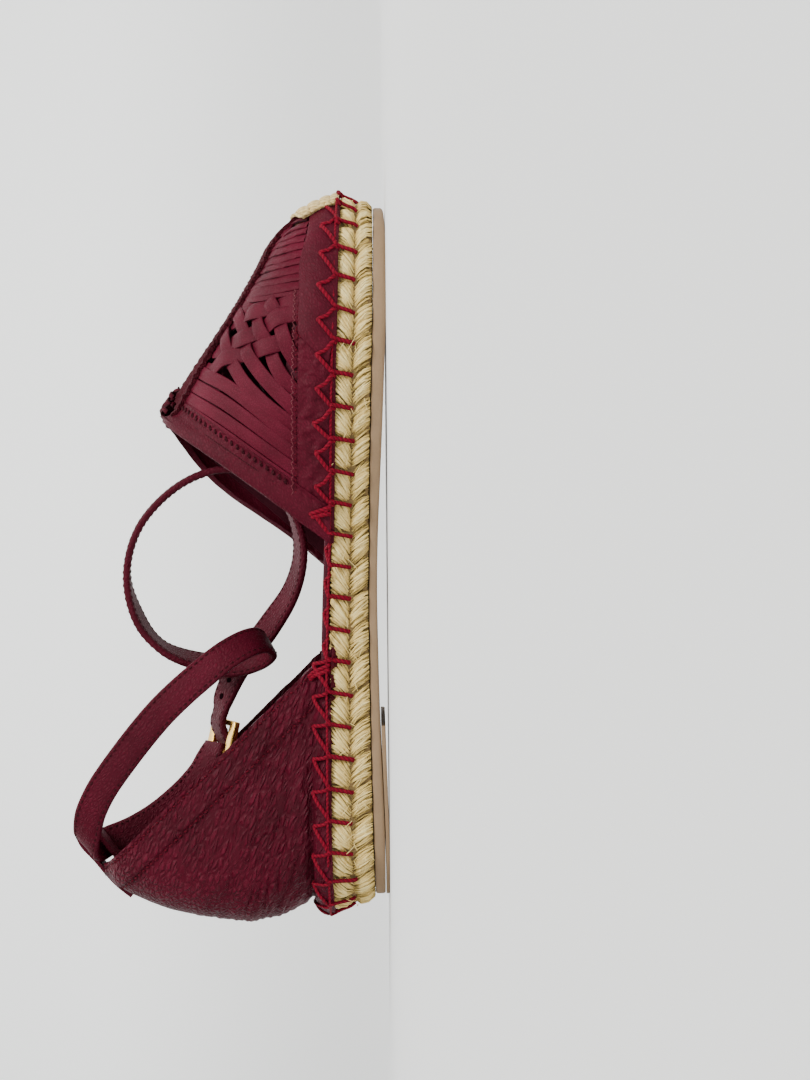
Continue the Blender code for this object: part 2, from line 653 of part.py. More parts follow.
def make_toe_patch(sides):
    """Crocheted patch over the toe tip, on the vamp's own surface."""
    half, rows = 6, 6
    stand_off = BAND_STEP * 1.3 + CLEAR + 0.1
    outside, inside = [], []
    length = [sum((b - a).length for a, b in zip(side.feather, side.feather[1:])) for side in sides]
    for row in range(rows + 1):
        up = row / rows
        line_out, line_in = [], []
        for step in range(-half, half + 1):
            which = 0 if step < 0 else 1
            side = sides[which]
            spread = abs(step) / half
            share = 1 - spread * (TOE_PATCH_HALF + TOE_PATCH_FLARE * up) / length[which]
            foot, top, _, fullness = side.column(share)
            rise = (TOE_PATCH_TOP - 3.0 * spread**2 - foot.z) / (top.z - foot.z)
            angle = math.asin(min(rise, 0.9) ** (fullness / 2)) * up
            normal = side.normal(share, angle)
            if step == 0:
                normal = Vector((normal.x, 0, normal.z)).normalized()
            if row == 0:
                normal = Vector((normal.x, normal.y, 0)).normalized()
            point = side.point(share, angle)
            line_in.append(point + normal * stand_off)
            line_out.append(point + normal * (stand_off + TOE_PATCH_THICK))
        outside.append(line_out)
        inside.append(line_in)
    return wall_solid("toe_patch", outside, inside, "cream_cotton")


# ---- counter ----

def sole_edge(side, x):
    """Distance of the sole's edge from the line y = 0."""
    return abs(read_table(SOLE_OUTLINE, 1 + side, x))


def counter_point(z, across):
    """Point of the counter's outside: across runs from -1 (inner front) over 0 (back) to 1."""
    back = read_table(COUNTER_SECTIONS, 1, z)
    front = COUNTER_FRONT_FOOT - COUNTER_FRONT_SLOPE * (z - COUNTER_SECTIONS[0][0])
    span = front - back
    share = abs(across)
    bend = min(COUNTER_ROUND / span, 1.0)
    # Columns crowd where the section turns round the back.
    x = span * (share**2 * bend + (share - share**2 * bend) * share)
    edge = sole_edge(0 if across < 0 else 1, max(back + x, COUNTER_ROUND))
    half = edge - read_table(COUNTER_SECTIONS, 2, z)
    around = min(x / COUNTER_ROUND, 1.0)
    side = half * (1 - (1 - around) ** 2.2) ** (1 / 2.2)
    return Vector((back + x, math.copysign(side, across), z)), x, span


def counter_normal(z, across):
    step = 0.01
    low, high = max(across - step, -1.0), min(across + step, 1.0)
    along = counter_point(z, high)[0] - counter_point(z, low)[0]
    return Vector((-along.y, along.x, 0)).normalized()


def make_counter():
    half = 17
    heights = [19.0, 22.2, 24.6, 25.3, 29.0, 35.0, 42.0, 50.0, 58.0, 66.0, 74.0, 82.0, 88.5,
               93.5, 97.3]
    last = len(heights) - 1
    outside, inside = [], []
    for row, z in enumerate(heights):
        line_out, line_in = [], []
        for step in range(-half, half + 1):
            across = step / half
            point, x, span = counter_point(z, across)
            if row == 0:
                point.z = read_table(SOLE_LAYERS, JUTE_TOP, max(point.x, 0.0)) + CLEAR
            if row == last:
                point.z += COUNTER_PEAK * (1 - across**2)
            normal = counter_normal(z, across)
            from_edge = (span - x) / math.hypot(1, COUNTER_FRONT_SLOPE)
            height = FOLD_STEP if from_edge < FOLD_WIDTH and z > HEEL_BAND_TOP else 0.0
            if z < HEEL_BAND_TOP and point.x < HEEL_BAND_LENGTH:
                height += HEEL_BAND_STEP
            line_out.append(point + normal * height)
            line_in.append(point - normal * COUNTER_WALL)
        outside.append(line_out)
        inside.append(line_in)
    return wall_solid("counter", outside, inside, "burgundy_leather")


# ---- strap, heel loop and buckle ----

def ribbon_solid(name, centres, crosswise, width, thick, finish):
    """Flat ribbon with eased edges along a line of centres."""
    profile = [(-0.5, 0.2), (-0.44, 0.5), (0.44, 0.5), (0.5, 0.2),
               (0.5, -0.2), (0.44, -0.5), (-0.44, -0.5), (-0.5, -0.2)]
    points, faces = [], []
    last = len(centres) - 1
    for index, centre in enumerate(centres):
        along = (centres[min(index + 1, last)] - centres[max(index - 1, 0)]).normalized()
        across = crosswise[index] - along * crosswise[index].dot(along)
        across.normalize()
        out = along.cross(across)
        points += [centre + across * (a * width) + out * (b * thick) for a, b in profile]
    corners = len(profile)
    for index in range(last):
        for corner in range(corners):
            after = (corner + 1) % corners
            low, high = index * corners, (index + 1) * corners
            faces.append((low + corner, low + after, high + after, high + corner))
    faces.append(tuple(range(corners)))
    faces.append(tuple(last * corners + corner for corner in reversed(range(corners))))
    return add_solid(name, points, faces, finish)


def buckle_axes():
    """Directions of the buckle along the strap, across it and out of it."""
    along = Vector(BUCKLE_ALONG).normalized()
    across = Vector(BUCKLE_ACROSS)
    across = (across - along * across.dot(along)).normalized()
    return along, across, along.cross(across)


def buckle_point(along, across, out):
    directions = buckle_axes()
    return Vector(BUCKLE_CENTRE) + sum((direction * step for direction, step in
                                        zip(directions, (along, across, out))), Vector())


def strap_rows():
    """Centres and crosswise directions, from the buckle's rear bar back through the buckle."""
    inner = FRAME_DEPTH / 2 - FRAME_BAR + CLEAR
    across = buckle_axes()[1]
    behind = FRAME_DEPTH / 2 + 3 * CLEAR
    start = [(buckle_point(behind + step, 0, 0), across) for step in (0.0, 2.5)]
    middle = [(Vector(row[:3]), Vector(row[3:])) for row in STRAP_ROUTE]
    end = [(buckle_point(*place), across) for place in (
        (-inner - 5.5, 0, -STRAP_LIFT - 0.2), (-inner, 0, -STRAP_LIFT), (inner, 0, STRAP_LIFT),
        (inner + 4.2, 0, STRAP_LIFT + 0.3))]
    return start + middle + end


def make_ankle_strap():
    rows = strap_rows()
    steps = 10
    centres = curve_through([row[0] for row in rows], steps)
    crosswise = curve_through([row[1] for row in rows], steps)
    lengths = [0.0]
    for first, second in zip(centres, centres[1:]):
        lengths.append(lengths[-1] + (second - first).length)
    line, directions = [], []
    for station in range(STRAP_STATIONS + 1):
        target = lengths[-1] * station / STRAP_STATIONS
        index = min(max(bisect.bisect_right(lengths, target) - 1, 0), len(centres) - 2)
        t = (target - lengths[index]) / (lengths[index + 1] - lengths[index])
        line.append(centres[index].lerp(centres[index + 1], t))
        directions.append(crosswise[index].lerp(crosswise[index + 1], t))
    strap = ribbon_solid("ankle_strap", line, directions, STRAP_WIDTH, STRAP_THICK,
                         "burgundy_leather")
    start, end = (buckle_point(along, 0, out) for along, out in PRONG_REACH)
    beyond = (end - start).normalized() * 2 * CLEAR
    hole = add_rod("prong_hole_cutter", start - beyond, end + beyond, PRONG_HOLE, "dark_lining", guide=True)
    cut = strap.modifiers.new("prong_hole", "BOOLEAN")
    cut.operation = "DIFFERENCE"
    cut.object = hole
    return strap


def add_rod(name, start, end, radius, finish, guide=False):
    """Eight-sided rod between two points."""
    sides = 8
    along = (end - start).normalized()
    first = along.orthogonal().normalized()
    second = along.cross(first)
    points = [centre + first * (radius * math.cos(2 * math.pi * side / sides))
              + second * (radius * math.sin(2 * math.pi * side / sides))
              for centre in (start, end) for side in range(sides)]
    faces = [(side, (side + 1) % sides, sides + (side + 1) % sides, sides + side)
             for side in range(sides)]
    faces += [tuple(range(sides))[::-1], tuple(range(sides, 2 * sides))]
    return add_solid(name, points, faces, finish, guide=guide)


def make_heel_loop():
    centres = curve_through([Vector((x, 0, z)) for x, z in LOOP_ROUTE], 4)
    crosswise = [Vector((0, 1, 0))] * len(centres)
    return ribbon_solid("heel_loop", centres, crosswise, LOOP_WIDTH, LOOP_THICK,
                        "burgundy_leather")


def make_buckle_frame():
    """Rectangular frame with chamfered bars round the strap."""
    opening = FRAME_DEPTH - 2 * FRAME_BAR
    points = []
    for length, depth, level in (
            (FRAME_LENGTH, FRAME_DEPTH, -0.25), (FRAME_LENGTH - 1, FRAME_DEPTH - 1, -0.5),
            (FRAME_OPENING, opening, -0.5), (FRAME_OPENING, opening, 0.5),
            (FRAME_LENGTH - 1, FRAME_DEPTH - 1, 0.5), (FRAME_LENGTH, FRAME_DEPTH, 0.25)):
        points += [buckle_point(depth / 2 * b, length / 2 * a, FRAME_THICK * level)
                   for a, b in ((-1, -1), (1, -1), (1, 1), (-1, 1))]
    faces = []
    count = len(points) // 4
    for index in range(count):
        low, high = index * 4, (index + 1) % count * 4
        for corner in range(4):
            after = (corner + 1) % 4
            faces.append((low + corner, low + after, high + after, high + corner))
    return add_solid("buckle_frame", points, faces, "brass", smooth=False)


def make_buckle_prong():
    """Prong from the rear bar through the strap's hole, resting on the front bar."""
    start, end = (buckle_point(along, 0, out) for along, out in PRONG_REACH)
    return add_rod("buckle_prong", start, end, PRONG_RADIUS, "brass")


def build():
    for thing in list(bpy.data.objects):
        bpy.data.objects.remove(thing)
    sides = [VampSide(0), VampSide(1)]
    make_outsole()
    make_heel_lift()
    make_jute_sole()
    make_footbed()
    make_vamp(sides)
    make_toe_patch(sides)
    make_counter()
    make_heel_loop()
    make_ankle_strap()
    make_buckle_frame()
    make_buckle_prong()


build()
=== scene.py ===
# Looks for a left espadrille sandal: leather, braid, threads, buckle, light and camera round the
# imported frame. Shapes are worked out in millimetres, x from the back of the heel, y to the outer
# side and z up from the floor, then placed in metres.
import bisect
import math
import random

import bmesh
import bpy
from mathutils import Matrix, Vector, noise


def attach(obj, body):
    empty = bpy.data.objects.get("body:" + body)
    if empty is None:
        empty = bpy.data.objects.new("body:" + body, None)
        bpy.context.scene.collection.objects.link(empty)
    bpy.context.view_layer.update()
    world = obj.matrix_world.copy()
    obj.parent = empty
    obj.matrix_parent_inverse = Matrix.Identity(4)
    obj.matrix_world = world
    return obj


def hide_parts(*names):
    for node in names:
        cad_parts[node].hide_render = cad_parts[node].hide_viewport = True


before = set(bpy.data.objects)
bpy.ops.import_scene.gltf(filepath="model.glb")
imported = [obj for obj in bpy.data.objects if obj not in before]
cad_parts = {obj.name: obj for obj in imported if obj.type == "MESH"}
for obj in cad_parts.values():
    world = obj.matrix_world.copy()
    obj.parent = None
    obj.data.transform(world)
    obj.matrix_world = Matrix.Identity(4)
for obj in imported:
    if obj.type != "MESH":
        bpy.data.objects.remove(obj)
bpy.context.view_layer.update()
print("frame loaded:", ", ".join(sorted(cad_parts)))

shoe = {
    "middle": (123.11, 0.80),       # floor point under the middle of the shoe
    "slope": 0.008, "level": 25.0,  # fall of the seated shoe towards its toe, and where it is none
    "outline": [                    # x, inner edge, outer edge
        (0.0, 0.0, 0.0), (3.0, -14.0, 14.0), (10.0, -23.0, 24.0), (25.0, -29.5, 30.5),
        (45.0, -30.5, 32.0), (70.0, -29.0, 33.0), (95.0, -27.5, 34.5), (120.0, -29.5, 37.0),
        (145.0, -35.0, 41.0), (165.0, -40.5, 44.5), (180.0, -43.0, 45.0), (195.0, -43.5, 43.0),
        (210.0, -42.0, 38.5), (222.0, -39.0, 32.5), (232.0, -34.5, 25.5), (239.4, -28.5, 17.0),
        (244.9, -20.5, 7.0), (247.9, -11.5, -1.5), (248.6, -6.5, -6.5)],
    "layers": [                     # x, underside above the floor, rubber top, jute top
        (0.0, 1.5, 4.9, 19.3), (30.0, 1.6, 5.6, 19.8), (67.0, 2.9, 6.6, 20.1),
        (85.0, 3.3, 6.9, 20.3), (109.0, 3.6, 7.3, 19.9), (130.0, 3.2, 7.1, 19.2),
        (152.0, 2.2, 7.0, 18.8), (166.0, 1.5, 6.7, 18.6), (182.0, 0.8, 6.4, 18.3),
        (197.0, 0.2, 6.1, 17.9), (204.0, 0.0, 6.0, 17.7), (228.0, 0.0, 6.0, 17.4),
        (238.0, 0.4, 6.0, 17.2), (248.6, 1.3, 6.2, 17.1)]}
inside, outside = 0, 1              # the shoe's inner side faces the camera
underside, rubberTop, juteTop = 1, 2, 3


# curves and lines

def clamp(value, low=0.0, high=1.0):
    return min(max(value, low), high)


def between(items, share):
    # the items before and after a share of a list, and how far it lies between them
    place = share * (len(items) - 1)
    i = min(int(place), len(items) - 2)
    return items[i], items[i + 1], place - i


def heading(points, i):
    # direction of a line at its point i
    return (points[min(i + 1, len(points) - 1)] - points[max(i - 1, 0)]).normalized()


def halved(isLow, steps=24):
    # share at which isLow changes from true to false
    low, high = 0.0, 1.0
    for _ in range(steps):
        share = (low + high) / 2
        if isLow(share):
            low = share
        else:
            high = share
    return share


def smooth(rows, column, key):
    # value of a column at key, on a smooth curve through the rows
    keys = [row[0] for row in rows]
    key = clamp(key, keys[0], keys[-1])
    i = clamp(bisect.bisect_right(keys, key) - 1, 0, len(keys) - 2)

    def slope(row):
        low, high = max(row - 1, 0), min(row + 1, len(keys) - 1)
        rise, fall = rows[high][column] - rows[row][column], rows[row][column] - rows[low][column]
        if rise * fall == 0:
            return 0.0
        return (rise + fall) / (keys[high] - keys[low])

    span = keys[i + 1] - keys[i]
    t = (key - keys[i]) / span
    return ((2 * t**3 - 3 * t**2 + 1) * rows[i][column] + (t**3 - 2 * t**2 + t) * span * slope(i)
            + (3 * t**2 - 2 * t**3) * rows[i + 1][column] + (t**3 - t**2) * span * slope(i + 1))


def straight(rows, key):
    for (low, first), (high, second) in zip(rows, rows[1:]):
        if key < high:
            return first + (second - first) * max(key - low, 0.0) / (high - low)
    return rows[-1][1]


def curve(points, steps, closed=False):
    # steps points from each given point to the next, on a rounded line
    n, line = len(points), []
    for i in range(n if closed else n - 1):
        a, b, c, d = (points[(i + k) % n if closed else clamp(i + k, 0, n - 1)]
                      for k in (-1, 0, 1, 2))
        for step in range(steps):
            t = step / steps
            line.append(0.5 * ((2 * b) + (c - a) * t + (2 * a - 5 * b + 4 * c - d) * t**2
                               + (3 * b - a - 3 * c + d) * t**3))
    return line if closed else line + [points[-1].copy()]


def lengthsOf(points):
    lengths = [0.0]
    for first, second in zip(points, points[1:]):
        lengths.append(lengths[-1] + (second - first).length)
    return lengths


def along(points, lengths, share):
    # point at a share of the whole length of a line
    target = lengths[-1] * clamp(share)
    i = clamp(bisect.bisect_right(lengths, target) - 1, 0, len(points) - 2)
    span = lengths[i + 1] - lengths[i]
    return points[i].lerp(points[i + 1], (target - lengths[i]) / span if span else 0.0)


def evenly(points, count):
    lengths = lengthsOf(points)
    return [along(points, lengths, i / count) for i in range(count + 1)]


def wobble(a, b=0.0, c=0.0):
    # smooth noise from -1 to 1
    return noise.noise(Vector((a, b, c)))


def makeSoleSides():
    # the sole's inner and outer edge, each from the heel to the tip of the toe
    inner = [Vector((x, low, 0)) for x, low, high in shoe["outline"]]
    outer = [Vector((x, high, 0)) for x, low, high in shoe["outline"][1:-1]]
    steps = 16
    loop = curve(inner + outer[::-1], steps, closed=True)
    tip = (len(inner) - 1) * steps
    return loop[:tip + 1], [loop[0]] + loop[tip:][::-1]


soleSides = makeSoleSides()


def soleEdges(count, inset):
    # matching points on the inner and outer edge, moved inwards by the inset at their x
    inner, outer = (evenly(side, count) for side in soleSides)
    ring = inner + outer[-2:0:-1]
    moved = []
    for i, point in enumerate(ring):
        ahead = ring[(i + 1) % len(ring)] - ring[i - 1]
        inward = Vector((-ahead.y, ahead.x, 0)).normalized()
        moved.append(point + inward * (inset(point.x) if callable(inset) else inset))
    return moved[:count + 1], [moved[0]] + moved[count:][::-1]


def seat(x):
    # how far the seated shoe sinks at x
    return shoe["slope"] * (x - shoe["level"])


def layer(column, x, rise=0.0):
    floor = seat(x) if column == underside else 0.0
    return smooth(shoe["layers"], column, x) + floor + rise


# mesh helpers

def metres(point):
    return ((point[0] - shoe["middle"][0]) * 0.001, (point[1] - shoe["middle"][1]) * 0.001,
            (point[2] - seat(point[0])) * 0.001)


def only(piece):
    bpy.ops.object.select_all(action="DESELECT")
    piece.select_set(True)
    bpy.context.view_layer.objects.active = piece


def finishPiece(piece, material, replaces=(), angle=40):
    only(piece)
    if angle:
        bpy.ops.object.shade_smooth_by_angle(angle=math.radians(angle))
    piece.data.materials.clear()
    piece.data.materials.append(material)
    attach(piece, "root")
    if replaces:
        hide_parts(*replaces)
    return piece


def edited(piece, work):
    # runs operators in edit mode on the whole piece
    only(piece)
    bpy.ops.object.mode_set(mode="EDIT")
    bpy.ops.mesh.select_all(action="SELECT")
    work()
    bpy.ops.object.mode_set(mode="OBJECT")


def applied(piece, kind, **settings):
    only(piece)
    modifier = piece.modifiers.new(kind.lower(), kind)
    for name, value in settings.items():
        setattr(modifier, name, value)
    bpy.ops.object.modifier_apply(modifier=modifier.name)


def sheet(name, columns, rows, put, uvSize=(1.0, 1.0)):
    # a grid whose points go where put(u, v) says, in millimetres
    bpy.ops.object.select_all(action="DESELECT")
    bpy.ops.mesh.primitive_grid_add(x_subdivisions=columns, y_subdivisions=rows, size=2,
                                    calc_uvs=True)
    piece = bpy.context.object
    piece.name = piece.data.name = name
    for vertex in piece.data.vertices:
        vertex.co = metres(put((vertex.co.x + 1) / 2, (vertex.co.y + 1) / 2))
    for corner in piece.data.uv_layers.active.data:
        corner.uv = (corner.uv[0] * uvSize[0], corner.uv[1] * uvSize[1])
    return piece


def closeUp(piece, gap=0.00002):
    # joins points that meet
    def work():
        bpy.ops.mesh.remove_doubles(threshold=gap)
        bpy.ops.mesh.normals_make_consistent(inside=False)
    edited(piece, work)
    return piece


def facesOut(piece, middle):
    # turns an open sheet so that its faces look away from a middle point
    mesh = piece.data
    centre = Vector(metres(middle))
    votes = sum(1 if face.normal.dot(face.center - centre) > 0 else -1 for face in mesh.polygons)
    if votes < 0:
        mesh.flip_normals()
    return piece


def thicken(piece, middle, thickness, bevel=None, segments=2, sharp=0.9):
    # gives a sheet its wall, inwards, and rounds its edges
    facesOut(piece, middle)
    applied(piece, "SOLIDIFY", thickness=thickness, offset=-1.0)
    if bevel:
        applied(piece, "BEVEL", width=bevel, segments=segments, limit_method="ANGLE",
                angle_limit=sharp)
    return piece


def roundOf(count):
    return [(math.cos(2 * math.pi * k / count) / 2, math.sin(2 * math.pi * k / count) / 2)
            for k in range(count)]


# sections across a thread, a cut strip and a flat strip, as shares of width and thickness
roundProfile, fineProfile = roundOf(8), roundOf(6)
stripProfile = [(-0.5, 0.05), (-0.485, 0.26), (-0.43, 0.4), (-0.25, 0.47), (0.0, 0.5), (0.25, 0.47),
                (0.43, 0.4), (0.485, 0.26), (0.5, 0.05), (0.47, -0.4), (0.0, -0.5), (-0.47, -0.4)]
flatProfile = [(-0.5, 0.1), (-0.49, 0.36), (-0.46, 0.47), (-0.4, 0.5), (0.0, 0.53), (0.4, 0.5),
               (0.46, 0.47), (0.49, 0.36), (0.5, 0.1), (0.47, -0.4), (0.0, -0.5), (-0.47, -0.4)]


def sweep(name, lines, profile):
    # one mesh of all lines; each is a list of (centre, across, out, width, thickness) and, at
    # will, how light it is there; the tone attribute is painted shade, darker on the underside
    points, faces, uvs, toneWithShade = [], [], [], []
    m = len(profile)
    turns = [0.0]
    for k in range(m):
        a, b = profile[k], profile[(k + 1) % m]
        turns.append(turns[-1] + math.hypot(b[0] - a[0], b[1] - a[1]))
    for number, line in enumerate(lines):
        start, run, shift = len(points), 0.0, number * 7.31
        runs = []
        for i, (centre, across, out, width, thick, *light) in enumerate(line):
            if i:
                run += (centre - line[i - 1][0]).length
            runs.append(run)
            # painted shade: each point is darker the lower it lies towards the strand's underside
            toneWithShade += [(light[0] if light else 1.0) - 0.9 * max(0.18 - b, 0.0) for _, b in profile]
            points += [metres(centre + across * (a * width) + out * (b * thick))
                       for a, b in profile]
        width = line[len(line) // 2][3]
        for i in range(len(line) - 1):
            for k in range(m):
                low, high, after = start + i * m, start + (i + 1) * m, (k + 1) % m
                faces.append((low + k, high + k, high + after, low + after))
                uvs += [(turns[k + a] * width, runs[i + b] + shift)
                        for a, b in ((0, 0), (0, 1), (1, 1), (1, 0))]
        for i, order in ((0, range(m)), (len(line) - 1, range(m - 1, -1, -1))):
            faces.append([start + i * m + k for k in order])
            uvs += [(turns[k] * width, runs[i] + shift) for k in order]
    mesh = bpy.data.meshes.new(name)
    mesh.from_pydata(points, [], faces)
    layer = mesh.uv_layers.new(name="UVMap")
    for corner, uv in zip(layer.data, uvs):
        corner.uv = uv
    tone = mesh.attributes.new("tone", "FLOAT", "POINT")
    for value, light in zip(tone.data, toneWithShade):
        value.value = light
    piece = bpy.data.objects.new(name, mesh)
    bpy.context.scene.collection.objects.link(piece)
    edited(piece, lambda: bpy.ops.mesh.normals_make_consistent(inside=False))
    return piece


def sewn(name, lines, profile, finish, replaces=(), angle=60):
    # a finished piece of cords, threads or strips
    return finishPiece(sweep(name, lines, profile), finishes[finish], replaces, angle)


def threadLine(points, out, width, thick=None, steps=4, taper=False):
    # stations of a thread through points; out is the way that it stands off
    centres = curve(points, steps)
    line = []
    for i, centre in enumerate(centres):
        ahead = heading(centres, i)
        away = out(centre) if callable(out) else out
        across = ahead.cross(away).normalized()
        away = across.cross(ahead)
        share = i / (len(centres) - 1)
        slim = min(1.0, 0.35 + 3.0 * min(share, 1 - share)) if taper else 1.0
        line.append((centre, across, away, width * slim, (thick or width) * slim))
    return line


# materials

class Wire:
    # an output of a node, usable in sums
    def __init__(self, shop, socket):
        self.shop, self.socket = shop, socket

    def sum(self, operation, first, second):
        return self.shop.node("Math", {"operation": operation}, {0: first, 1: second})

    def __add__(self, other):
        return self.sum("ADD", self, other)

    __radd__ = __add__

    def __sub__(self, other):
        return self.sum("SUBTRACT", self, other)

    def __rsub__(self, other):
        return self.sum("SUBTRACT", other, self)

    def __mul__(self, other):
        return self.sum("MULTIPLY", self, other)

    __rmul__ = __mul__

    def kept(self, low=0.0, high=1.0):
        return self.sum("MINIMUM", self.sum("MAXIMUM", self, low), high)

    def sine(self):
        return self.sum("SINE", self, 0.0)

    def step(self, low, high):
        # 0 below low, 1 above high, smooth between them
        return self.shop.node("MapRange", {"interpolation_type": "SMOOTHSTEP"},
                              {0: self, 1: low, 2: high})


class Finish:
    # a material under construction
    def __init__(self, name, **plain):
        self.material = bpy.data.materials.new(name)
        self.material.use_nodes = True
        self.tree = self.material.node_tree
        self.shader = self.tree.nodes["Principled BSDF"]
        for socket, value in plain.items():
            self.shader.inputs[socket.replace("_", " ")].default_value = value

    def node(self, kind, settings=None, inputs=None, output=0):
        made = self.tree.nodes.new("ShaderNode" + kind)
        for name, value in (settings or {}).items():
            if name == "stops":
                ramp = made.color_ramp
                while len(ramp.elements) < len(value):
                    ramp.elements.new(0.5)
                for element, (place, colour) in zip(ramp.elements, value):
                    element.position = place
                    element.color = (*colour, 1.0)
            else:
                setattr(made, name, value)
        for name, value in (inputs or {}).items():
            if isinstance(value, Wire):
                self.tree.links.new(value.socket, made.inputs[name])
            else:
                made.inputs[name].default_value = value
        return Wire(self, made.outputs[output])

    def mix(self, share, first, second):
        return self.node("Mix", {"data_type": "RGBA"},
                         {0: share, 6: (*first, 1.0), 7: (*second, 1.0)}, 2)

    def ramp(self, share, dark, main, light, middle=0.5):
        return self.node("ValToRGB", {"stops": [(0.0, dark), (middle, main), (1.0, light)]},
                         {0: share})

    def noise(self, where, scale, detail=2.0, rough=0.5, distort=0.0):
        return self.node("TexNoise", None, {"Vector": where, "Scale": scale, "Detail": detail,
                                            "Roughness": rough, "Distortion": distort})

    def cells(self, where, scale):
        return self.node("TexVoronoi", {"feature": "DISTANCE_TO_EDGE"},
                         {"Vector": where, "Scale": scale})

    def moved(self, where, turn=(0, 0, 0), size=(1, 1, 1)):
        return self.node("Mapping", None, {"Vector": where, "Rotation": turn, "Scale": size})

    def objectPlace(self):
        return self.node("TexCoord", None, None, "Object")

    def uv(self, turn=(0, 0, 0), size=(1, 1, 1)):
        return self.moved(self.node("TexCoord", None, None, "UV"), turn, size)

    def tone(self):
        # how light a strand is, as its mesh says: its own paleness and painted shade
        return self.node("Attribute", {"attribute_name": "tone"}, None, 2)

    def parts(self, where):
        split = self.node("SeparateXYZ", None, {0: where})
        return [Wire(self, output) for output in split.socket.node.outputs]

    def done(self, colour, rough=None, height=None, depth=0.0002):
        put = [("Base Color", colour), ("Roughness", rough)]
        if height is not None:
            put.append(("Normal", self.node("Bump", None, {"Height": height, "Distance": depth})))
        for name, value in put:
            if isinstance(value, Wire):
                self.tree.links.new(value.socket, self.shader.inputs[name])
            elif isinstance(value, tuple):
                self.shader.inputs[name].default_value = (*value, 1.0)
            elif value is not None:
                self.shader.inputs[name].default_value = value
        return self.material


leather = {"dark": (0.020, 0.0006, 0.003), "main": (0.066, 0.0022, 0.0105),
           "light": (0.130, 0.0078, 0.025)}


def makeLeather(name, pebble, pebbleDepth, wrinkle, direction=(0, 0, 0), stretch=(1, 1, 1),
                rough=0.38, main=None, wall=0.32, depth=0.18):
    # pebbled hide: cells with soft walls, fine pores and long soft wrinkles; the walls and the
    # wrinkles' hollows are painted darker as shade
    made = Finish(name, Specular_IOR_Level=0.1)
    base = made.objectPlace()
    laid = made.moved(made.moved(base, direction), size=stretch)
    bend = made.noise(laid, 260.0, 2.0)
    bent = made.node("VectorMath", {"operation": "ADD"}, {
        0: laid, 1: made.node("VectorMath", {"operation": "SCALE"}, {
            0: Wire(made, bend.socket.node.outputs["Color"]), "Scale": 0.0016})})
    domes = made.cells(bent, pebble).step(0.0, wall)
    pores = made.noise(base, 3800.0, 2.0, 0.6)
    folds = made.noise(laid, 95.0, 3.0, 0.55, 0.6)
    patches = made.noise(base, 42.0, 3.0, 0.6)
    veins = made.noise(laid, pebble * 1.1, 2.0, 0.6) - 0.5
    domes = domes * (0.62 + 0.38 * (veins * veins * 160.0).kept())
    height = domes * pebbleDepth + folds * wrinkle + pores * 0.16
    # painted shade: the cell walls are darker by depth and the wrinkles' hollows darker with their
    # bump; patches are the hide's own tone
    shade = (domes * depth + patches * 0.65 + folds * 0.3 + (0.08 - depth)).kept()
    colour = made.ramp(shade, leather["dark"], main or leather["main"], leather["light"])
    return made.done(colour, (rough + 0.16 - domes * 0.1 + patches * 0.08).kept(), height,
                     0.00022)


def makeStripLeather(name):
    # strips cut from the hide, stretched along their length, with painted shade on their sides and
    # underneath
    made = Finish(name, Specular_IOR_Level=0.1)
    grain = made.objectPlace()
    domes = made.cells(grain, 1350.0).step(0.0, 0.3)
    pull = made.noise(made.uv(size=(0.9, 0.12, 1.0)), 1.0, 3.0, 0.6)
    patches = made.noise(grain, 60.0, 3.0, 0.6)
    pores = made.noise(grain, 2600.0, 2.0, 0.6)
    # painted shade: the mesh's tone darkens the strips' sides and undersides, and the cell walls
    # are a little darker
    shade = (domes * 0.12 + patches * 0.75 + pull * 0.3 - 3.0 + made.tone() * 3.0).kept()
    colour = made.ramp(shade, leather["dark"], leather["main"], leather["light"])
    return made.done(colour, (0.56 - domes * 0.08 + patches * 0.1).kept(),
                     domes * 0.4 + pull * 0.9 + pores * 0.25, 0.00014)


def makeThread(name, dark, light, pitch, rough=0.6, sheen=0.2):
    # twisted yarn: plies wound round the thread's own length
    made = Finish(name, Sheen_Weight=sheen, Sheen_Roughness=0.4, Specular_IOR_Level=0.12)
    u, v, _ = made.parts(made.node("TexCoord", None, None, "UV"))
    twist = ((v * (1.0 / pitch) + u * 0.45) * (2 * math.pi)).sine() * 0.5 + 0.5
    fuzz = made.noise(made.uv(size=(9.0, 1.6, 1.0)), 1.0, 3.0, 0.6)
    tone = (twist * 0.6 + fuzz * 0.55 - 0.1).kept()
    return made.done(made.mix(tone, dark, light), rough, twist * 0.7 + fuzz * 0.5, 0.00022)


def makeJute(name, dark, main, pale, toned=True):
    # straw fibres wound a little round each cord
    made = Finish(name, Specular_IOR_Level=0.15)
    fibres = made.noise(made.uv((0, 0, 0.22), (4.4, 0.30, 1.0)), 1.0, 4.0, 0.7)
    lumps = made.noise(made.uv(size=(0.9, 0.22, 1.0)), 1.0, 2.0)
    patches = made.noise(made.objectPlace(), 70.0, 2.0, 0.6)
    # painted shade: the mesh's tone darkens the strands in the lobes' valleys, the deeper strands
    # and each strand's underside, beside their own paleness
    given = made.tone() if toned else 1.0
    shade = (fibres * 1.9 + lumps * 0.3 + patches * 0.3 - 1.5 + given).kept()
    return made.done(made.ramp(shade, dark, main, pale, 0.45), 0.8, fibres + lumps * 0.4, 0.0004)


def makeRubber(name, main, dark):
    made = Finish(name, Specular_IOR_Level=0.15)
    where = made.objectPlace()
    specks = made.noise(where, 900.0, 3.0, 0.7)
    scuffs = made.noise(made.moved(where, size=(0.25, 1.0, 1.0)), 160.0, 3.0, 0.6)
    patches = made.noise(where, 30.0, 3.0, 0.6)
    tone = (specks * 0.35 + scuffs * 0.5 + patches * 0.5 - 0.2).kept()
    return made.done(made.mix(tone, dark, main), (0.5 + scuffs * 0.25).kept(),
                     specks * 0.5 + scuffs * 0.5, 0.00008)


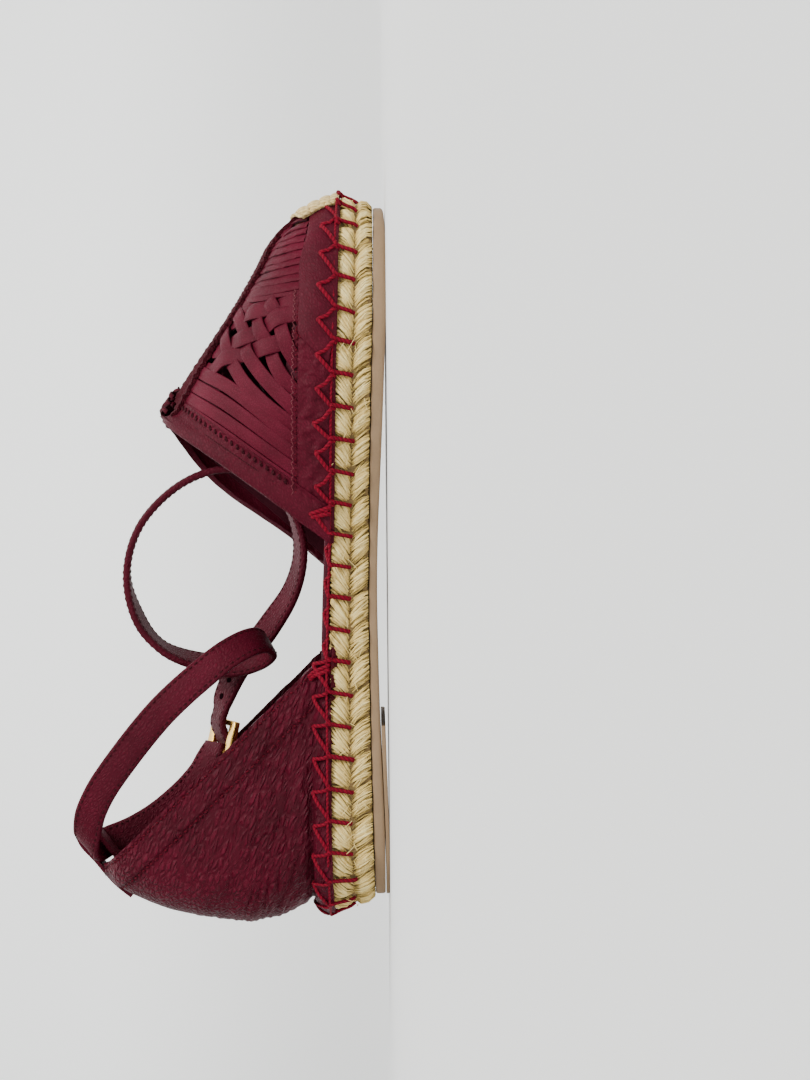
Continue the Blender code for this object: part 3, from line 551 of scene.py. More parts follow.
def makeBrass(name):
    made = Finish(name, Metallic=1.0)
    where = made.objectPlace()
    wear = made.noise(where, 420.0, 3.0, 0.6)
    lines = made.noise(made.moved(where, (0.3, 0.2, 0.5), (0.08, 1.0, 1.0)), 2600.0, 2.0)
    return made.done(made.mix(wear, (0.66, 0.36, 0.07), (0.93, 0.62, 0.17)),
                     (0.16 + wear * 0.18).kept(), lines * 0.5 + wear * 0.5, 0.00003)


finishes = {
    "heelHide": makeLeather("heel hide", 560.0, 3.0, 2.0, (0.0, -0.36, 0.0), (0.36, 1.0, 1.1),
                            rough=0.33, main=(0.078, 0.0026, 0.0125), wall=0.34, depth=0.28),
    "strapHide": makeLeather("strap hide", 760.0, 0.8, 0.5, (0, 0.9, 0), (1.5, 1.0, 0.7)),
    "band": makeLeather("band hide", 900.0, 0.4, 0.9, (0, 0.5, 0), (0.6, 1.0, 1.2), 0.4),
    # the ridge's leather is painted darker than the band, as shade
    "ridgeHideInShade": makeLeather("ridge hide painted darker as shade", 900.0, 1.6, 1.6, rough=0.62,
                             main=(0.050, 0.0018, 0.007)),
    "lining": makeLeather("smooth lining", 1500.0, 0.25, 0.5, rough=0.5,
                          main=(0.06, 0.009, 0.017)),
    "strip": makeStripLeather("cut strips"),
    "jute": makeJute("braided jute", (0.09, 0.055, 0.011), (0.80, 0.57, 0.185),
                     (0.98, 0.82, 0.39)),
    # the braid's core: a dark copy of the jute, painted as the shade in the gaps between the
    # strands
    "juteCoreInShade": makeJute("braid core painted dark as shade", (0.06, 0.035, 0.012), (0.16, 0.10, 0.04),
                         (0.28, 0.19, 0.08), toned=False),
    "cotton": makeThread("cream cotton", (0.42, 0.27, 0.09), (0.88, 0.69, 0.33), 2.2),
    "redThread": makeThread("red whip thread", (0.075, 0.0005, 0.006), (0.235, 0.0012, 0.018),
                            1.5, 0.7, 0.0),
    "darkThread": makeThread("wine thread", (0.03, 0.0006, 0.004), (0.12, 0.0015, 0.012),
                             1.0, 0.7, 0.0),
    "laceThread": makeThread("dark lace", (0.014, 0.0006, 0.002), (0.05, 0.0015, 0.007),
                             1.0, 0.7, 0.0),
    "paleThread": makeThread("rose edge thread", (0.09, 0.010, 0.018), (0.19, 0.045, 0.055), 1.2),
    "rubber": makeRubber("taupe rubber", (0.35, 0.24, 0.145), (0.215, 0.14, 0.078)),
    "brass": makeBrass("polished brass"),
    "hole": Finish("hole shadow", Specular_IOR_Level=0.0).done((0.006, 0.002, 0.003), 0.9)}
print("materials made")


# sole: rubber sheet, heel lift, jute core and footbed

sole = {
    "rubberInset": [(0.0, 7.0), (6.0, 4.6), (22.0, 1.8), (225.0, 1.6), (246.0, 4.4)],
    "liftUnderside": [(0.0, 0.0), (28.0, 0.0), (67.6, 1.15)], "undercut": (4.0, 2.4),
    "footbedInset": [(0.0, 4.7), (88.0, 4.7), (97.0, 1.8), (112.0, 1.8), (126.0, 4.2),
                     (228.0, 4.4), (244.0, 6.0)],
    # rows up the side of each layer: share of its height, and how much further in it lies
    "rubberSide": [(0.0, 2.0), (0.0, 0.45), (0.12, 0.1), (0.3, 0.0), (0.75, 0.0), (0.92, 0.15),
                   (1.0, 0.6)],
    "liftSide": [(0.0, 0.8), (0.0, 0.45), (0.12, 0.1), (0.3, 0.0), (0.8, 0.0), (1.0, 0.05)],
    "footbedSide": [(0.0, 1.2), (0.0, 0.3), (0.35, 0.0), (0.7, 0.1), (0.92, 0.5), (1.0, 1.2),
                    (1.0, 2.4)],
    "coreSide": [(0.0, 3.2), (0.03, 2.2), (0.5, 2.3), (0.97, 2.2), (1.0, 3.2)],
    "gap": 0.3, "liftFront": 67.6, "liftPoints": 60, "footbedThick": 2.4,
    "stations": 150, "across": 10}


def soleBody(name, rows, height):
    # closed body: rows of (share of the side's height, inset), then sheets over both faces
    count, across = sole["stations"], sole["across"]
    edges = [soleEdges(count, inset) for _, inset in rows]
    n = len(rows)
    loop = 2 * n + 2 * across

    def put(u, v):
        i, k = round(u * count), round(v * loop) % loop
        if k < n:
            point, level = edges[k][inside][i], rows[k][0]
        elif k < n + across:
            share = (k - n + 1) / (across + 1)
            point, level = edges[-1][inside][i].lerp(edges[-1][outside][i], share), rows[-1][0]
        elif k < 2 * n + across:
            row = 2 * n + across - 1 - k
            point, level = edges[row][outside][i], rows[row][0]
        else:
            share = (k - 2 * n - across + 1) / (across + 1)
            point, level = edges[0][outside][i].lerp(edges[0][inside][i], share), rows[0][0]
        return (point.x, point.y, height(point, level))

    return closeUp(sheet(name, count, loop, put, (260.0, 180.0)))


def sideRows(side, inset):
    # rows for soleBody from a side and an inset that changes along the shoe
    return [(level, lambda x, more=more: straight(inset, x) + more) for level, more in side]


def makeOutsole():
    def height(point, level):
        low = layer(underside, point.x)
        return low + (layer(rubberTop, point.x) - sole["gap"] - low) * level

    rows = sideRows(sole["rubberSide"], sole["rubberInset"])
    body = soleBody("outsole_rubber", rows, height)
    return finishPiece(body, finishes["rubber"], ("outsole",))


makeOutsole()


def makeHeelLift():
    # rubber block under the heel, cut straight at its front
    lines = []
    for side in soleEdges(200, lambda x: straight(sole["rubberInset"], x)):
        part = [point for point in side if point.x < sole["liftFront"]]
        last, after = part[-1], side[len(part)]
        share = (sole["liftFront"] - last.x) / (after.x - last.x)
        lines.append(evenly(part + [last.lerp(after, share)], sole["liftPoints"]))
    ring = lines[0] + lines[1][:0:-1]
    centre = Vector((sole["liftFront"] / 2, 1.0, 0))
    rows = sole["liftSide"]

    def put(u, v):
        i, row = round(u * len(ring)) % len(ring), round(v * (len(rows) - 1))
        level, inset = rows[row]
        point = ring[i] + (centre - ring[i]).normalized() * inset
        low = straight(sole["liftUnderside"], point.x) + seat(point.x)
        top = layer(underside, point.x) - sole["gap"]
        return (point.x, point.y, low + (top - low) * level)

    lift = sheet("heel_lift_rubber", len(ring), len(rows) - 1, put, (180.0, 5.0))

    def fill():
        bpy.ops.mesh.remove_doubles(threshold=0.00002)
        bpy.ops.mesh.select_all(action="DESELECT")
        bpy.ops.mesh.select_non_manifold()
        bpy.ops.mesh.fill_holes(sides=0)
        bpy.ops.mesh.select_all(action="SELECT")
        bpy.ops.mesh.normals_make_consistent(inside=False)
    edited(lift, fill)
    return finishPiece(lift, finishes["rubber"], ("heel_lift",))


makeHeelLift()


def makeFootbed():
    # insole board wrapped in leather
    def height(point, level):
        return layer(juteTop, point.x, sole["gap"]) + sole["footbedThick"] * level

    rows = sideRows(sole["footbedSide"], sole["footbedInset"])
    body = soleBody("footbed_cover", rows, height)
    return finishPiece(body, finishes["lining"], ("footbed",))


makeFootbed()


# braid: two rows of lobes round the side of the core

braid = {
    "lobes": 27, "phase": 0.12, "valley": -3.0, "relief": 2.9, "round": 0.6,
    # how many strands in a row of a lobe, their width, how deep they lie, how loose, their steps
    "sets": [(10, 1.25, 0.65, 0.03, 3), (17, 0.72, 0.0, 0.10, 3)],
    # each row: slant and start of a lobe, painted shade of its valleys, rise at its edge and from
    # there, and each cord's start and end, as (share heel-ward from bar to bar, share from the edge
    # to the line between the rows)
    "rows": [
        {"lean": 0.14, "start": 0.0, "deep": 0.55, "edge": 0.985, "climb": -0.475,
         "cords": [(0.03, 0.74, 0.40, 1.02), (0.03, 0.46, 0.56, 1.02), (0.03, 0.20, 0.70, 1.02),
                   (0.06, 0.0, 0.84, 1.02), (0.26, -0.02, 0.96, 1.0), (0.47, -0.02, 1.04, 0.92),
                   (0.68, -0.02, 1.05, 0.74), (0.87, -0.02, 1.04, 0.52)]},
        {"lean": 0.42, "start": -0.30, "deep": 0.8, "edge": 0.015, "climb": 0.475,
         "cords": [(-0.30, -0.02, 0.16, 1.0), (-0.13, -0.02, 0.36, 1.02), (0.04, -0.02, 0.52, 1.02),
                   (0.20, -0.02, 0.68, 1.02), (0.36, -0.02, 0.84, 1.02), (0.52, -0.02, 0.99, 1.02),
                   (0.66, -0.02, 1.10, 0.98)]}],
    "looseStraws": 150, "looseWidth": 0.2}


def undercut(x, rise):
    # how far the braid's side lies back near its lower edge at the heel and at the toe
    heel, toe = (reach * (1 - rise) for reach in sole["undercut"])
    return straight([(0.0, heel), (22.0, 0.0), (228.0, 0.0), (246.0, toe)], x)


# the core shows in the braid's gaps, painted dark there as shade
def makeJuteCore():
    rows = [(level, lambda x, level=level, inset=inset: inset + undercut(x, level))
            for level, inset in sole["coreSide"]]

    def height(point, level):
        low = layer(rubberTop, point.x)
        return low + (layer(juteTop, point.x) - low) * level

    body = soleBody("jute_core", rows, height)
    return finishPiece(body, finishes["juteCoreInShade"], ("jute_sole",))


makeJuteCore()


def soleSidePoint(side, share, rise, out):
    # point on the braid's side: share along it from the heel, rise from 0 to 1, out from the edge
    line, lengths, ahead = sideLines[side]
    point = along(line, lengths, share)
    way = along(ahead, lengths, share).normalized()
    # the two sides meet in one rounded end at the heel and at the toe
    normal = Vector((way.y, -way.x, 0)) * (1 if side == inside else -1)
    low = layer(rubberTop, point.x)
    high = layer(juteTop, point.x)
    out -= undercut(point.x, max(rise, 0.0)) if rise < 1.0 else 0.0
    return point + normal * out + Vector((0, 0, low + (high - low) * rise)), normal


def makeSideLines():
    # each side's points, its lengths, and the directions along it
    lines = []
    ring = soleSides[0] + soleSides[1][-2:0:-1]
    n = len(ring)
    for side in (inside, outside):
        line = soleSides[side]
        ahead = []
        for i in range(len(line)):
            place = i if side == inside else (n - i) % n
            way = ring[(place + 1) % n] - ring[place - 1]
            ahead.append(way.normalized() * (1 if side == inside else -1))
        lines.append((line, lengthsOf(line), ahead))
    return lines


sideLines = makeSideLines()


def ringPoint(place, rise, out):
    # place counts lobes from the heel along the inner side to the toe and back on the outer side
    place %= 2 * braid["lobes"]
    side = inside if place <= braid["lobes"] else outside
    share = place / braid["lobes"]
    return soleSidePoint(side, share if side == inside else 2 - share, rise, out)


def fan(cords, share):
    # start and end of a strand between the fan's main cords
    first, second, part = between(cords, share)
    return [a + (b - a) * part for a, b in zip(first, second)]


def strandLine(row, lobe, strand, last, sink):
    # a strand's points and normals on the braid's side, and how light each is, with painted shade
    # in the lobes' valleys and on deeper strands
    (s0, r0, s1, r1), bow, pale, puff, lift = strand
    line, lights = [], []
    for i in range(last + 1):
        q = i / last
        r = r0 + (r1 - r0) * q
        s = s0 + (s1 - s0) * q - bow * math.sin(math.pi * q)
        local = clamp(s - row["start"] - row["lean"] * r)
        dome = math.sin(math.pi * (0.03 + 0.94 * local)) ** braid["round"]
        dome *= math.sin(math.pi * clamp(0.14 + 0.80 * r, 0.02, 0.98)) ** 0.5
        out = braid["valley"] + braid["relief"] * dome * puff + lift * dome - sink
        # both ends dip into the core
        out += -0.5 * max(0.0, q - 0.9) / 0.1 - 0.35 * max(0.0, 0.1 - q) / 0.1
        line.append(ringPoint(lobe + braid["phase"] - s, row["edge"] + row["climb"] * r, out))
        # painted shade: darker in the lobe's valleys and the deeper a strand sinks; pale is its own
        # tone
        lights.append(1.0 + pale + row["deep"] * (dome - 0.9) - 0.45 * sink)
    return line, lights


def makeBraid():
    # in each lobe the straws fan together towards the line between the rows
    lines = []
    rand = random.Random(7)
    lobes = braid["lobes"]
    for lobe in range(2 * lobes):
        for row in braid["rows"]:
            puff = rand.uniform(0.88, 1.08)
            for count, size, sink, loose, last in braid["sets"]:
                for strand in range(count):
                    place = fan(row["cords"], (strand + rand.uniform(0.2, 0.8)) / count)
                    place[0] += rand.uniform(-1, 1) * loose
                    place[2] += rand.uniform(-1, 1) * loose
                    lift = rand.uniform(-1.0, 1.0) * loose * 3.2
                    thick = size * rand.uniform(0.75, 1.2)
                    bow, pale = rand.uniform(0.0, 0.12), rand.uniform(-0.2, 0.12)
                    line, lights = strandLine(row, lobe, (place, bow, pale, puff, lift),
                                                last, sink)
                    points, stations = [point for point, _ in line], []
                    for i, (point, normal) in enumerate(line):
                        way = heading(points, i)
                        across = way.cross(normal).normalized()
                        wide = thick * (0.62 if i in (0, last) else 1.0)
                        stations.append((point, across, across.cross(way), wide, wide * 0.75,
                                         lights[i]))
                    lines.append(stations)
    for _ in range(braid["looseStraws"]):
        place, rise = rand.uniform(0, 2 * lobes), rand.uniform(0.1, 0.95)
        turn, reach, high = rand.uniform(-1, 1), rand.uniform(0.15, 0.35), rand.uniform(0.1, 0.9)
        straw = [ringPoint(place - reach * t, rise + 0.25 * turn * t,
                           -0.5 + high * math.sin(2.4 * t)) for t in (0.0, 0.33, 0.66, 1.0)]
        lines.append(threadLine([point for point, _ in straw], straw[0][1], braid["looseWidth"],
                                steps=1))
    return sewn("jute_braid", lines, fineProfile, "jute", angle=70)


makeBraid()
print("sole made")


# vamp: the last's surface, foxing band, woven strips, ridge and border

vamp = {
    "ridge": [                      # x, z, y of the ridge seen from the side
        (168.8, 77.8, 1.0), (176.9, 72.5, 0.4), (190.9, 63.8, -1.0), (201.4, 56.8, -2.2),
        (210.2, 51.2, -3.2), (220.0, 45.5, -4.4), (228.4, 41.0, -5.4), (233.0, 38.0, -6.0)],
    "columns": [                    # share, x at the ridge, dome, fullness
        (0.0, 168.8, 0.0, 2.2), (0.09, 178.5, 0.0, 2.25), (0.16, 186.5, 0.0, 2.3),
        (0.215, 193.0, 0.0, 2.3), (0.325, 203.0, 0.05, 2.3), (0.435, 211.0, 0.15, 2.25),
        (0.545, 217.0, 0.3, 2.2), (0.65, 223.0, 0.55, 2.05), (0.77, 228.0, 0.85, 1.85),
        (0.87, 231.0, 1.0, 1.6), (1.0, 233.0, 1.0, 1.35)],
    "rear": (128.5, 116.5), "insets": [(0.0, 0.2), (228.0, 0.2), (244.8, 2.6)],
    "middle": (190.0, 0.0, 20.0), "bandTop": 11.2, "stripThick": 1.25,
    "rearTop": (178.0, 71.4)}       # x, z where the border ends on the ridge
ridgeTop = math.pi / 2 - 0.0001     # angle of the ridge, just short of upright


class VampSide:
    # the last's surface on one side: share from the rear edge to the toe, angle from sole to ridge
    def __init__(self, side):
        middle, line = Vector(vamp["middle"]), []
        edge = soleSides[side]
        for before, point, after in zip(edge, edge[1:], edge[2:]):
            ahead = after - before
            inward = Vector((-ahead.y, ahead.x, 0)).normalized()
            if inward.dot(middle - point) < 0:
                inward = -inward
            line.append(point + inward * straight(vamp["insets"], point.x))
        line.append(edge[-1] - Vector((vamp["insets"][-1][1], 0, 0)))
        rear = vamp["rear"][side]
        start = next(i for i, point in enumerate(line) if point.x > rear)
        before, after = line[start - 1], line[start]
        first = before.lerp(after, (rear - before.x) / (after.x - before.x))
        self.feather = evenly([first] + line[start:], 240)
        self.length = lengthsOf(self.feather)[-1]

    def column(self, share):
        # foot and ridge points at a share, dome and fullness there
        first, second, part = between(self.feather, clamp(share))
        foot = first.lerp(second, part)
        foot.z = layer(juteTop, foot.x, 0.3)
        x = smooth(vamp["columns"], 1, share)
        top = Vector((x, smooth(vamp["ridge"], 2, x), smooth(vamp["ridge"], 1, x)))
        return foot, top, smooth(vamp["columns"], 2, share), smooth(vamp["columns"], 3, share)

    def point(self, share, angle):
        foot, top, dome, full = self.column(share)
        rise = max(math.sin(angle), 0.0) ** (2 / full)
        close = 1 - max(math.cos(angle), 0.0) ** (2 / full)
        ahead = rise + (close - rise) * dome
        return Vector((foot.x + (top.x - foot.x) * ahead, foot.y + (top.y - foot.y) * close,
                       foot.z + (top.z - foot.z) * rise))

    def normal(self, share, angle):
        low, high = max(share - 0.004, 0.0), min(share + 0.004, 1.0)
        angle = clamp(angle, 0.03, math.pi / 2 - 0.03)
        ahead = self.point(high, angle) - self.point(low, angle)
        up = self.point(share, angle + 0.01) - self.point(share, angle - 0.01)
        normal = ahead.cross(up).normalized()
        away = self.column(share)[0] - Vector(vamp["middle"])
        away.z = 25.0
        return normal if normal.dot(away) > 0 else -normal

    def bandAngle(self, share, height=None):
        # angle at a height above the sole, or at the band's top
        foot, top, _, full = self.column(share)
        rise = min((height or vamp["bandTop"]) / (top.z - foot.z), 0.85)
        return math.asin(rise ** (full / 2))

    def ridgeAngle(self, share, half):
        # angle at a distance from the ridge, seen from above
        foot, top, _, full = self.column(share)
        reach = (foot.xy - top.xy).length
        return math.acos(min(half / reach, 0.9) ** (full / 2))

    def find(self, x, z):
        # share and angle of the point seen at (x, z) from the side
        def angleAt(share):
            foot, top, _, full = self.column(share)
            return math.asin(clamp((z - foot.z) / (top.z - foot.z)) ** (full / 2))

        share = halved(lambda share: self.point(share, angleAt(share)).x < x, 36)
        return share, angleAt(share)


vampSides = [VampSide(inside), VampSide(outside)]


def onVamp(side, share, angle, height=0.0):
    surface = vampSides[side]
    return surface.point(share, angle) + surface.normal(share, angle) * height


def vampStrip(side, route, width, steps=8):
    # a leather strip along (share, angle, height) places on the last
    places = curve([Vector(place) for place in route], steps)
    centres = [onVamp(side, *place) for place in places]
    line = []
    for i, centre in enumerate(centres):
        ahead = heading(centres, i)
        across = ahead.cross(vampSides[side].normal(places[i].x, places[i].y)).normalized()
        wide = width(i / (len(places) - 1)) if callable(width) else width
        line.append((centre, across, across.cross(ahead), wide, vamp["stripThick"]))
    return line


weave = {
    # side view places (x, z) and height over (+) or under (-) the crossing strip
    "front": [
        [(213.4, 48.6, -0.2), (211.6, 45.1, 0.6), (211.0, 41.0, 0.5), (211.3, 36.5, 0.5),
         (211.6, 33.0, 0.3), (211.8, 29.4, 0.0)],
        [(203.2, 54.6, -0.3), (204.6, 50.2, -0.75), (205.1, 44.8, 0.85), (206.3, 38.6, -0.75),
         (206.8, 34.0, 0.1), (206.9, 29.6, 0.0)],
        [(194.4, 58.6, -0.3), (195.6, 54.7, -0.75), (196.5, 48.1, 0.85), (198.9, 42.5, -0.75),
         (201.8, 36.8, 0.85), (202.9, 32.4, 0.2), (203.2, 29.6, 0.0)],
        [(187.2, 61.0, -0.2), (190.6, 54.4, 0.85), (191.7, 46.9, -0.75), (192.9, 39.7, 0.85),
         (194.4, 33.9, -0.75), (195.0, 29.6, -0.2)]],
    "rear": [
        [(212.6, 42.6, -0.75), (209.6, 40.6, -0.4), (206.6, 38.4, 0.85), (201.8, 36.6, -0.75),
         (196.8, 34.6, 0.85), (191.4, 32.8, 0.3), (186.2, 29.8, -1.0)],
        [(213.2, 50.4, -0.75), (209.0, 47.9, 0.4), (205.1, 44.9, -0.75), (198.9, 42.5, 0.85),
         (192.9, 39.8, -0.75), (187.6, 37.6, 0.2), (182.6, 34.9, 0.1), (176.0, 29.8, -1.0)],
        [(208.2, 52.2, -0.3), (205.0, 50.3, 0.85), (196.6, 48.1, -0.75), (191.7, 46.7, 0.85),
         (185.6, 43.2, 0.2), (179.8, 38.4, 0.1), (174.6, 33.2, 0.1), (170.6, 29.8, -1.0)],
        [(203.2, 56.4, -0.2), (200.4, 55.6, 0.5), (195.6, 54.6, 0.85), (190.6, 54.0, -0.75),
         (187.9, 51.8, 0.2), (182.3, 48.4, 0.2), (176.8, 43.6, 0.1), (171.0, 37.0, 0.1),
         (165.4, 29.8, -1.0)]],
    "slits": [                      # x, z of the cuts between the rear strips, at ridge and band
        ((187.9, 60.6), (181.6, 50.6), (167.0, 34.5)),
        ((183.3, 62.6), (176.6, 52.0), (162.0, 33.5)),
        ((178.8, 64.9), (171.8, 53.6), (157.0, 33.5)),
        ((175.4, 67.0), (167.2, 54.8), (151.8, 33.5)),
        ((171.9, 69.3), (162.8, 55.6), (146.8, 33.5))],
    "frontWidth": 5.9, "rearWidth": 5.3, "outerWide": 1.3, "cover": 0.93,
    # how far the strips' ends run on under the ridge band and the side band
    "under": 5.0, "tuck": (0.35, 0.22), "endHeight": (-0.2, -1.6)}


def rearStrip(side, first, second):
    # one flat strip between two cuts, a little narrower than the room between them
    surface = vampSides[side]
    route, gaps = [], []
    for a, b in zip(first, second):
        a, b = surface.find(*a), surface.find(*b)
        route.append(Vector(((a[0] + b[0]) / 2, (a[1] + b[1]) / 2, 0.1)))
        gaps.append(surface.point(*a) - surface.point(*b))
    middles = [surface.point(place.x, place.y) for place in route]
    widths = [gap.cross(heading(middles, k)).length for k, gap in enumerate(gaps)]
    start, middle, end = route
    head = start + (start - middle) * weave["tuck"][0]
    head.y = surface.ridgeAngle(min(head.x, 1.0), weave["under"])
    tail = end + (end - middle) * weave["tuck"][1]
    end.z, tail.z = weave["endHeight"]

    def wide(share):
        low, high, part = between(widths, share)
        return (low + (high - low) * part) * weave["cover"]

    return vampStrip(side, [head, start, middle, end, tail], wide, steps=12)


def makeWeave():
    woven, flat = [], []
    for side in (inside, outside):
        surface = vampSides[side]
        for strips, width in ((weave["front"], weave["frontWidth"]),
                              (weave["rear"], weave["rearWidth"])):
            for strip in strips:
                route = [(*surface.find(x, z), height) for x, z, height in strip]
                share, angle, _ = route[0]
                angle = max(surface.ridgeAngle(share, weave["under"]), angle)
                route.insert(0, (share, angle, -0.3))
                # on the outer side the strips lie closer together
                woven.append(vampStrip(side, route,
                                       width * (1.0 if side == inside else weave["outerWide"])))
        flat += [rearStrip(side, first, second)
                 for first, second in zip(weave["slits"], weave["slits"][1:])]
    sewn("woven_strips", woven, stripProfile, "strip", replaces=("vamp",), angle=40)
    sewn("rear_strips", flat, flatProfile, "strip", angle=40)


makeWeave()


frontStrips = {
    "first": 212.4, "last": 236.6, "count": 10, "tilt": 0.2, "under": 4.0, "widths": (3.6, 4.6),
    "foot": 28.6, "footFall": 2.0,  # z of their low ends, and how far it falls towards the toe
    "topLast": 231.6, "topDrop": 2.2}


def makeFrontStrips():
    # dense wrinkled strips between the weave and the toe, each lying over the next
    lines = []
    rand = random.Random(3)
    first, last, count = (frontStrips[key] for key in ("first", "last", "count"))
    for side in (inside, outside):
        surface = vampSides[side]
        for i in range(count):
            x = first + (last - first) * i / (count - 1)
            x += rand.uniform(-0.35, 0.35)
            fall = frontStrips["footFall"] * max(x - 220.0, 0.0) / 16.0
            low = Vector(surface.find(x + 0.6, frontStrips["foot"] - fall))
            topX = min(x + 1.0, frontStrips["topLast"])
            highZ = smooth(vamp["ridge"], 1, topX) - frontStrips["topDrop"]
            high = Vector(surface.find(topX - 1.0, highZ))
            bow = rand.uniform(0.2, 1.0)
            middle = Vector(surface.find(x - bow, (29.4 + highZ) / 2))
            route = [(high[0], surface.ridgeAngle(high[0], frontStrips["under"]), 0.0),
                     (*high, 0.25), (*(high + middle) / 2, 0.5),
                     (*middle, 0.55 + rand.uniform(-0.15, 0.15)),
                     (*(low + middle) / 2, 0.5), (*low, 0.1)]
            wide = rand.uniform(*frontStrips["widths"])
            line = []
            for k, (centre, across, out, width, thick) in enumerate(vampStrip(
                    side, route, lambda share, wide=wide: wide * (0.8 + 0.25 * share))):
                lean = frontStrips["tilt"] + 0.16 * wobble(k * 0.35, i * 3.1 + side * 40)
                lean = math.copysign(1, across.x) * lean
                line.append((centre, (across - out * lean).normalized(),
                             (out + across * lean).normalized(), width, thick))
            lines.append(line)
    return sewn("front_strips", lines, stripProfile, "strip", angle=40)


makeFrontStrips()


foxing = {"front": 193.0, "rearStart": 200.0, "fall": 2.4,
          "frontWall": 0.0014, "rearWall": 0.0013,
          "endFoot": 18.6, "endRise": 11.4,       # z of the front band's square rear end
          "fallFrom": 216.0, "fallRun": 20.0}     # where the band's top falls towards the toe


def bandEnd(fromEnd):
    # height of the front band near its rounded rear end
    return vamp["bandTop"] * (1.0 - max(0.0, 1 - fromEnd / 5.0) ** 2.4 * 0.9) + 0.3


def makeFoxing():
    # front band round the toe, then a thinner wrinkled band on each side
    columns, rows = 150, 12
    ends = [[surface.find(foxing["front"], foxing["endFoot"] + foxing["endRise"] * k / rows)[0]
             for k in range(rows + 1)] for surface in vampSides]

    def placed(side, share, angle, height, v):
        # the lowest row is let into the sole
        point = onVamp(side, share, angle, height)
        return point - Vector((0, 0, 1.0)) if v == 0.0 else point

    def frontPut(u, v):
        side = inside if u < 0.5 else outside
        surface, end = vampSides[side], ends[side][round(v * rows)]
        share = 1.0 - abs(u - 0.5) * 2 * (1.0 - end)
        toeward = clamp((surface.column(share)[0].x - foxing["fallFrom"]) / foxing["fallRun"])
        top = bandEnd((share - end) * surface.length)
        top -= foxing["fall"] * toeward**2 * (3 - 2 * toeward)
        angle = surface.bandAngle(share, max(top, 0.6)) * v
        swell = math.sin(math.pi * (0.12 + 0.76 * v)) ** 0.7
        dimple = 0.22 * wobble(share * 60 + side * 9, v * 2.5)
        return placed(side, share, angle, 0.35 + 1.35 * swell + dimple, v)

    band = sheet("toe_band", columns, rows, frontPut, (200.0, 11.0))
    thicken(band, vamp["middle"], foxing["frontWall"], 0.0005)
    finishPiece(band, finishes["band"], angle=60)
    for side in (inside, outside):
        limit = vampSides[side].find(foxing["rearStart"], 24.0)[0]

        def rearPut(u, v, side=side, limit=limit):
            share = u * limit
            angle = vampSides[side].bandAngle(share) * v
            crease = 0.75 * wobble(share * 46 + 3 * v, v * 3.0 + side * 5)
            crease += 0.45 * wobble(share * 120 + 9 * v, v * 5.0)
            swell = math.sin(math.pi * (0.1 + 0.8 * v)) ** 0.8
            return placed(side, share, angle, 0.1 + 0.4 * swell + crease * swell, v)

        band = sheet(f"side_band_{side}", columns, 22, rearPut, (70.0, 11.0))
        thicken(band, vamp["middle"], foxing["rearWall"])
        finishPiece(band, finishes["band"], angle=60)


makeFoxing()


# shares of the border's width where its seam and its lacing run, then how far its edge reaches
# back on the outer side, forward on the inner side, and forward at the ridge
border = {"seam": 0.66, "lace": 0.86, "outerReach": 5.0, "innerBack": 1.8, "corner": 2.6,
          "wall": 0.0024, "rim": 0.0009}


def makeBorder():
    # rear edge of the vamp, rolled over at its rim, puckered where it is laced, in one piece
    lasts = [surface.find(*vamp["rearTop"])[0] for surface in vampSides]

    def put(u, v):
        side = inside if u < 0.5 else outside
        angle = min((math.pi / 2) * (1 - abs(1 - 2 * u)), ridgeTop)
        puff = math.sin(math.pi * clamp(0.08 + 0.92 * v / border["seam"])) ** 0.6
        height = 0.6 + 1.25 * puff + 0.35 * (v > border["seam"])
        height -= 0.5 * math.exp(-((v - border["lace"]) / 0.07) ** 2)
        height += 0.2 * math.sin(u * 400.0) * math.exp(-((v - border["lace"]) / 0.12) ** 2)
        height += 0.16 * wobble(u * 40, v * 4)
        point = onVamp(side, lasts[side] * v, angle, height)
        bulge, back = max(math.sin(2 * angle), 0.0), (1 - v) ** 2
        if side == outside:
            point.x -= border["outerReach"] * bulge**2.6 * back
        else:
            point.x += border["innerBack"] * bulge * back
        point.x += border["corner"] * math.exp(-((math.pi / 2 - angle) / 0.42) ** 2) * back
        return point

    rim = closeUp(sheet("vamp_border", 300, 24, put, (150.0, 9.0)))
    thicken(rim, vamp["middle"], border["wall"], border["rim"], 3)
    return finishPiece(rim, finishes["band"], angle=60)


makeBorder()


ridge = {
    "start": 0.05, "end": 0.93, "teeth": 34, "perTooth": 5, "wall": 0.0016,
    # half its width on the inner and outer side at the rear, how much it narrows, its teeth
    "half": (17.6, 11.0), "narrower": 4.4, "toothDepth": 1.7,
    # how high its middle stands at the rear, how much lower at the toe, how much more at its end
    "peak": 2.3, "lower": 0.8, "endPeak": 0.9,
    "tip": [(0.97, math.pi / 2 - 0.01, 0.9), (0.99, 1.25, 1.1), (0.995, 0.98, 0.9)],
    "tipWidth": 5.2}


